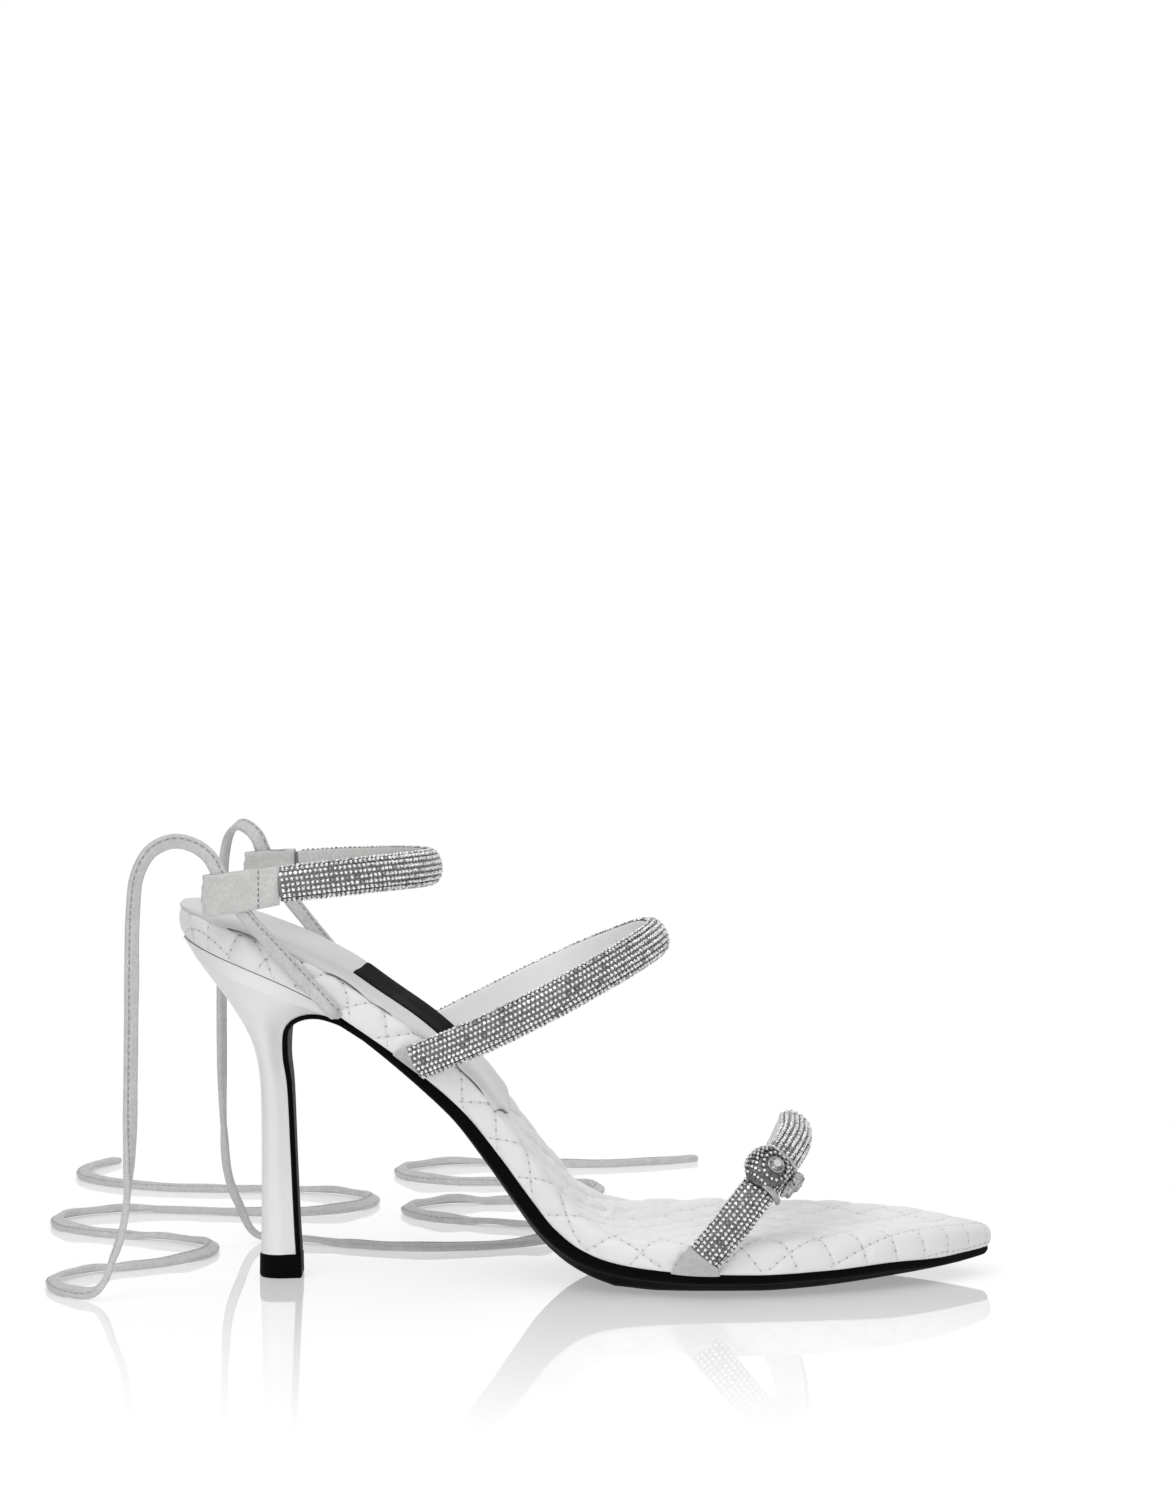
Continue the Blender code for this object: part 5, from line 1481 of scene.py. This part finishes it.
def ornament():
    s0 = toe.length * 0.292 - 5.4
    b = Build()

    def blob(centre, axes, radii, power):
        u = np.linspace(0.001, math.pi - 0.001, 15)[:, None]
        v = np.arange(24)[None, :] / 24 * 2 * math.pi

        def p(q):
            return np.sign(q) * np.abs(q) ** power
        co = [p(np.sin(u)) * p(np.cos(v)), p(np.sin(u)) * p(np.sin(v)), p(np.cos(u)) + 0 * v]
        pts = centre + sum(c[..., None] * a * r for c, a, r in zip(co, axes, radii))
        b.grid(pts, wrap=True, caps=True)
    # rounded base and dome
    spokes, shells = 40, np.array([1.0, 0.985, 0.93, 0.85, 0.72, 0.55, 0.36, 0.18, 0.04])
    ang = np.arange(spokes) / spokes * 2 * math.pi
    rings = []
    for lift_only in (True, False):
        for r in (shells if lift_only else shells[::-1]):
            s = s0 + 0.4 + r * 5.3 * np.cos(ang)
            across = -2.4 + r * 5.2 * np.sin(ang)
            dome = 2.6 * (1 - r ** 2.4) ** 0.6 + 0.7
            lift = 0.25 + (0.0 if not lift_only else dome) + 0 * ang
            rings.append(toe_face(s, across, lift)[0])
        if lift_only:
            rings = rings[::-1]
    b.grid(np.stack(rings), wrap=True, caps=True)
    first_count = len(b.m)

    def tube(points, radius, flat=0.8, up=None):
        pts = np.array(points)
        t = tangents(pts)
        side = unit(np.cross(t, up))
        upn = np.cross(side, t)
        q = np.arange(12) / 12 * 2 * math.pi
        n = len(pts)
        f = np.arange(n) / (n - 1)
        r = radius * np.clip(np.minimum(f, 1 - f) * 9, 0.0, 1.0) ** 0.5
        ring = pts[:, None] + side[:, None] * (np.cos(q)[None, :, None] * r[:, None, None]) \
            + upn[:, None] * (np.sin(q)[None, :, None] * r[:, None, None] * flat)
        b.grid(ring, wrap=True, caps=True)
    # the slide's polished bar along the lower edge, and one along the upper
    for ds, r, lo, hi in ((-3.7, 0.95, -5.0, 7.6), (5.9, 0.7, -5.2, 3.4)):
        a = np.linspace(lo, hi, 34)
        pts, nrm, _ = toe_face(s0 + ds + 0 * a, a, 1.0 + 0 * a)
        tube(pts, r, 0.75, nrm)
    # the clasp past the strap's edge
    c, n, t = (q[0] for q in toe_face(np.array([s0 + 5.4]), np.array([7.2]),
                                      np.array([1.4])))
    w = np.cross(t, n)
    w = w * (1.0 if w[0] > 0 else -1.0)
    clasp = (c, t, w, n)
    blob(c, (t, w, n), (2.5, 2.5, 1.5), 0.55)
    blob(c - t * 3.9 - w * 0.3, (t, w, n), (1.0, 2.5, 1.0), 0.6)
    blob(c - w * 3.0 - n * 0.5, (t, w, n), (1.9, 2.0, 1.1), 0.6)
    blob(c - t * 5.2 + w * 1.2 - n * 0.6, (t, w, n), (3.6, 0.75, 0.8), 0.6)
    b.m = [1 if k < first_count else 0 for k in range(len(b.m))]
    piece(b.make("ornament_slide", [silver, dark_metal], angle=50),
          ["strap_ornament"])
    st = Build()
    spots, norms, along = [], [], []
    pitch, wider = 1.20, 1.62       # the dome's height spreads the rows across the strap
    # a ring of stones round the big one, and rows over the rest of the dome
    halo = [(0.2 + 3.1 * math.cos(a), 1.9 + 3.1 / wider * math.sin(a))
            for a in np.arange(16) / 16 * 2 * math.pi + 0.1]
    halo = [q for q in halo if math.hypot(q[0] / 4.9, q[1] / 4.8) < 0.97]
    rest = [(j * pitch * 0.87, (i + 0.5 * (j % 2)) * pitch / wider)
            for i in range(-8, 9) for j in range(-7, 8)]
    rest = [q for q in rest if math.hypot(q[0] - 0.2, (q[1] - 1.9) * wider) > 4.1
            and math.hypot(q[0] / 4.9, q[1] / 4.8) < 0.97]
    for group in (halo, rest):
        for ds, da in group:
            e = 0.15

            def top(s_, a_):
                q = math.hypot((s_) / 5.3, (a_) / 5.2)
                h = 2.6 * max(0.0, 1 - min(q, 0.999) ** 2.4) ** 0.6 + 1.22
                return toe_face(np.array([s0 + 0.4 + s_]), np.array([a_ - 2.4]),
                                np.array([h]))[0][0]
            c = top(ds, da)
            n = np.cross(top(ds + e, da) - c, top(ds, da + e) - c)
            ref = toe_face(np.array([s0 + ds]), np.array([da]), np.array([1.0]))[1][0]
            n = n * (1.0 if np.dot(n, ref) > 0 else -1.0)
            spots.append(c)
            norms.append(unit(n))
            along.append(top(ds + e, da) - c)
    c, t, w, n = clasp
    for i in (-1, 0, 1):
        for j in (-1, 0, 1):
            spots.append(c + t * (i * 1.25) + w * (j * 1.25) + n * 1.42)
            norms.append(n)
            along.append(t)
    # bright and deep set these stones' painted glints and painted shade
    place_stones(st, np.array(spots), np.array(norms), np.array(along), 0.56, 0,
                 bright=0.40, deep=0.16, table_share=0.64)
    c = toe_face(np.array([s0 + 0.6]), np.array([-0.5]), np.array([3.35]))
    place_stones(st, c[0], c[1], c[2], 2.05, 0, sides=12, bright=0.30)
    ring_c, ring_n, ring_t = c[0][0], unit(c[1][0]), c[2][0]
    ring_t = unit(ring_t - ring_n * np.dot(ring_t, ring_n))
    ring_b = np.cross(ring_n, ring_t)
    q = np.arange(36) / 36 * 2 * math.pi
    k = np.arange(8) / 8 * 2 * math.pi
    arm = ring_t * np.cos(q)[:, None] + ring_b * np.sin(q)[:, None]
    bez = Build()
    loop = ring_c + arm[:, None] * (2.12 + 0.34 * np.cos(k))[None, :, None] \
        + ring_n * (0.34 * np.sin(k) + 0.1)[None, :, None]
    bez.grid(np.concatenate([loop, loop[:1]]), wrap=True)
    piece(bez.make("ornament_bezel", [silver], angle=60))
    piece(st.make("ornament_pave", [crystal], flat=True))


ornament()

# ------------------------------------------------------------------ stage, lights, world
def floor_material():
    """Glossy white sweep; its mirror image fades toward the camera."""
    s = Shader("stage_white")
    tree = s.tree
    tree.nodes.remove(s.bsdf)
    glow = tree.nodes.new("ShaderNodeEmission")
    glow.inputs[0].default_value = (1, 1, 1, 1)
    glow.inputs[1].default_value = 0.55
    matt = tree.nodes.new("ShaderNodeBsdfDiffuse")
    matt.inputs[0].default_value = (0.50, 0.50, 0.50, 1)
    both = tree.nodes.new("ShaderNodeAddShader")
    tree.links.new(glow.outputs[0], both.inputs[0])
    tree.links.new(matt.outputs[0], both.inputs[1])
    gloss = tree.nodes.new("ShaderNodeBsdfGlossy")
    gloss.inputs["Color"].default_value = (1, 1, 1, 1)
    gloss.inputs["Roughness"].default_value = 0.02
    mix = tree.nodes.new("ShaderNodeMixShader")
    mm = s.mm()
    sep = tree.nodes.new("ShaderNodeSeparateXYZ")
    tree.links.new(mm, sep.inputs[0])
    fade = s.span(sep.outputs[1], -212.0, -30.0, 0.0, 0.38, False)
    tree.links.new(fade, mix.inputs[0])
    tree.links.new(both.outputs[0], mix.inputs[1])
    tree.links.new(gloss.outputs[0], mix.inputs[2])
    tree.links.new(mix.outputs[0], s.out.inputs[0])
    return s.mat


def stage_plane(name, corners, mat):
    mesh = bpy.data.meshes.new(name)
    mesh.from_pydata(corners, [], [(0, 1, 2, 3)])
    mesh.materials.append(mat)
    ob = bpy.data.objects.new(name, mesh)
    bpy.context.scene.collection.objects.link(ob)
    return ob


stage_plane("stage_floor", [(-14, -14, 0), (14, -14, 0), (14, 14, 0), (-14, 14, 0)],
            floor_material())

world = bpy.data.worlds.new("studio")
bpy.context.scene.world = world
world.use_nodes = True
back = world.node_tree.nodes["Background"]
back.inputs[0].default_value = (1, 1, 1, 1)
back.inputs[1].default_value = 1.0


def flag_material():
    s = Shader("stage_flag")
    return s.set(colour=(0.02, 0.02, 0.02), rough=0.9)


flag = flag_material()
for name, x in (("stage_flag_left", -0.75), ("stage_flag_right", 1.0)):
    card = stage_plane(name, [(x, -0.9, 0.02), (x, 0.7, 0.02), (x, 0.7, 0.95),
                              (x, -0.9, 0.95)], flag)
    card.visible_camera = False
    card.visible_glossy = False

key_data = bpy.data.lights.new("key", "AREA")
key_data.shape = "RECTANGLE"
key_data.size, key_data.size_y = 1.1, 0.8
key_data.energy = 6.5
key = bpy.data.objects.new("key", key_data)
bpy.context.scene.collection.objects.link(key)
key.location = (-0.55, -0.75, 1.25)
key.rotation_euler = (Vector((0.0, 0.0, 0.05)) - Vector(key.location)).to_track_quat(
    "-Z", "Y").to_euler()

view = bpy.context.scene.view_settings
view.view_transform = "Standard"
view.look = "None"
view.exposure = 0.0
view.gamma = 1.0
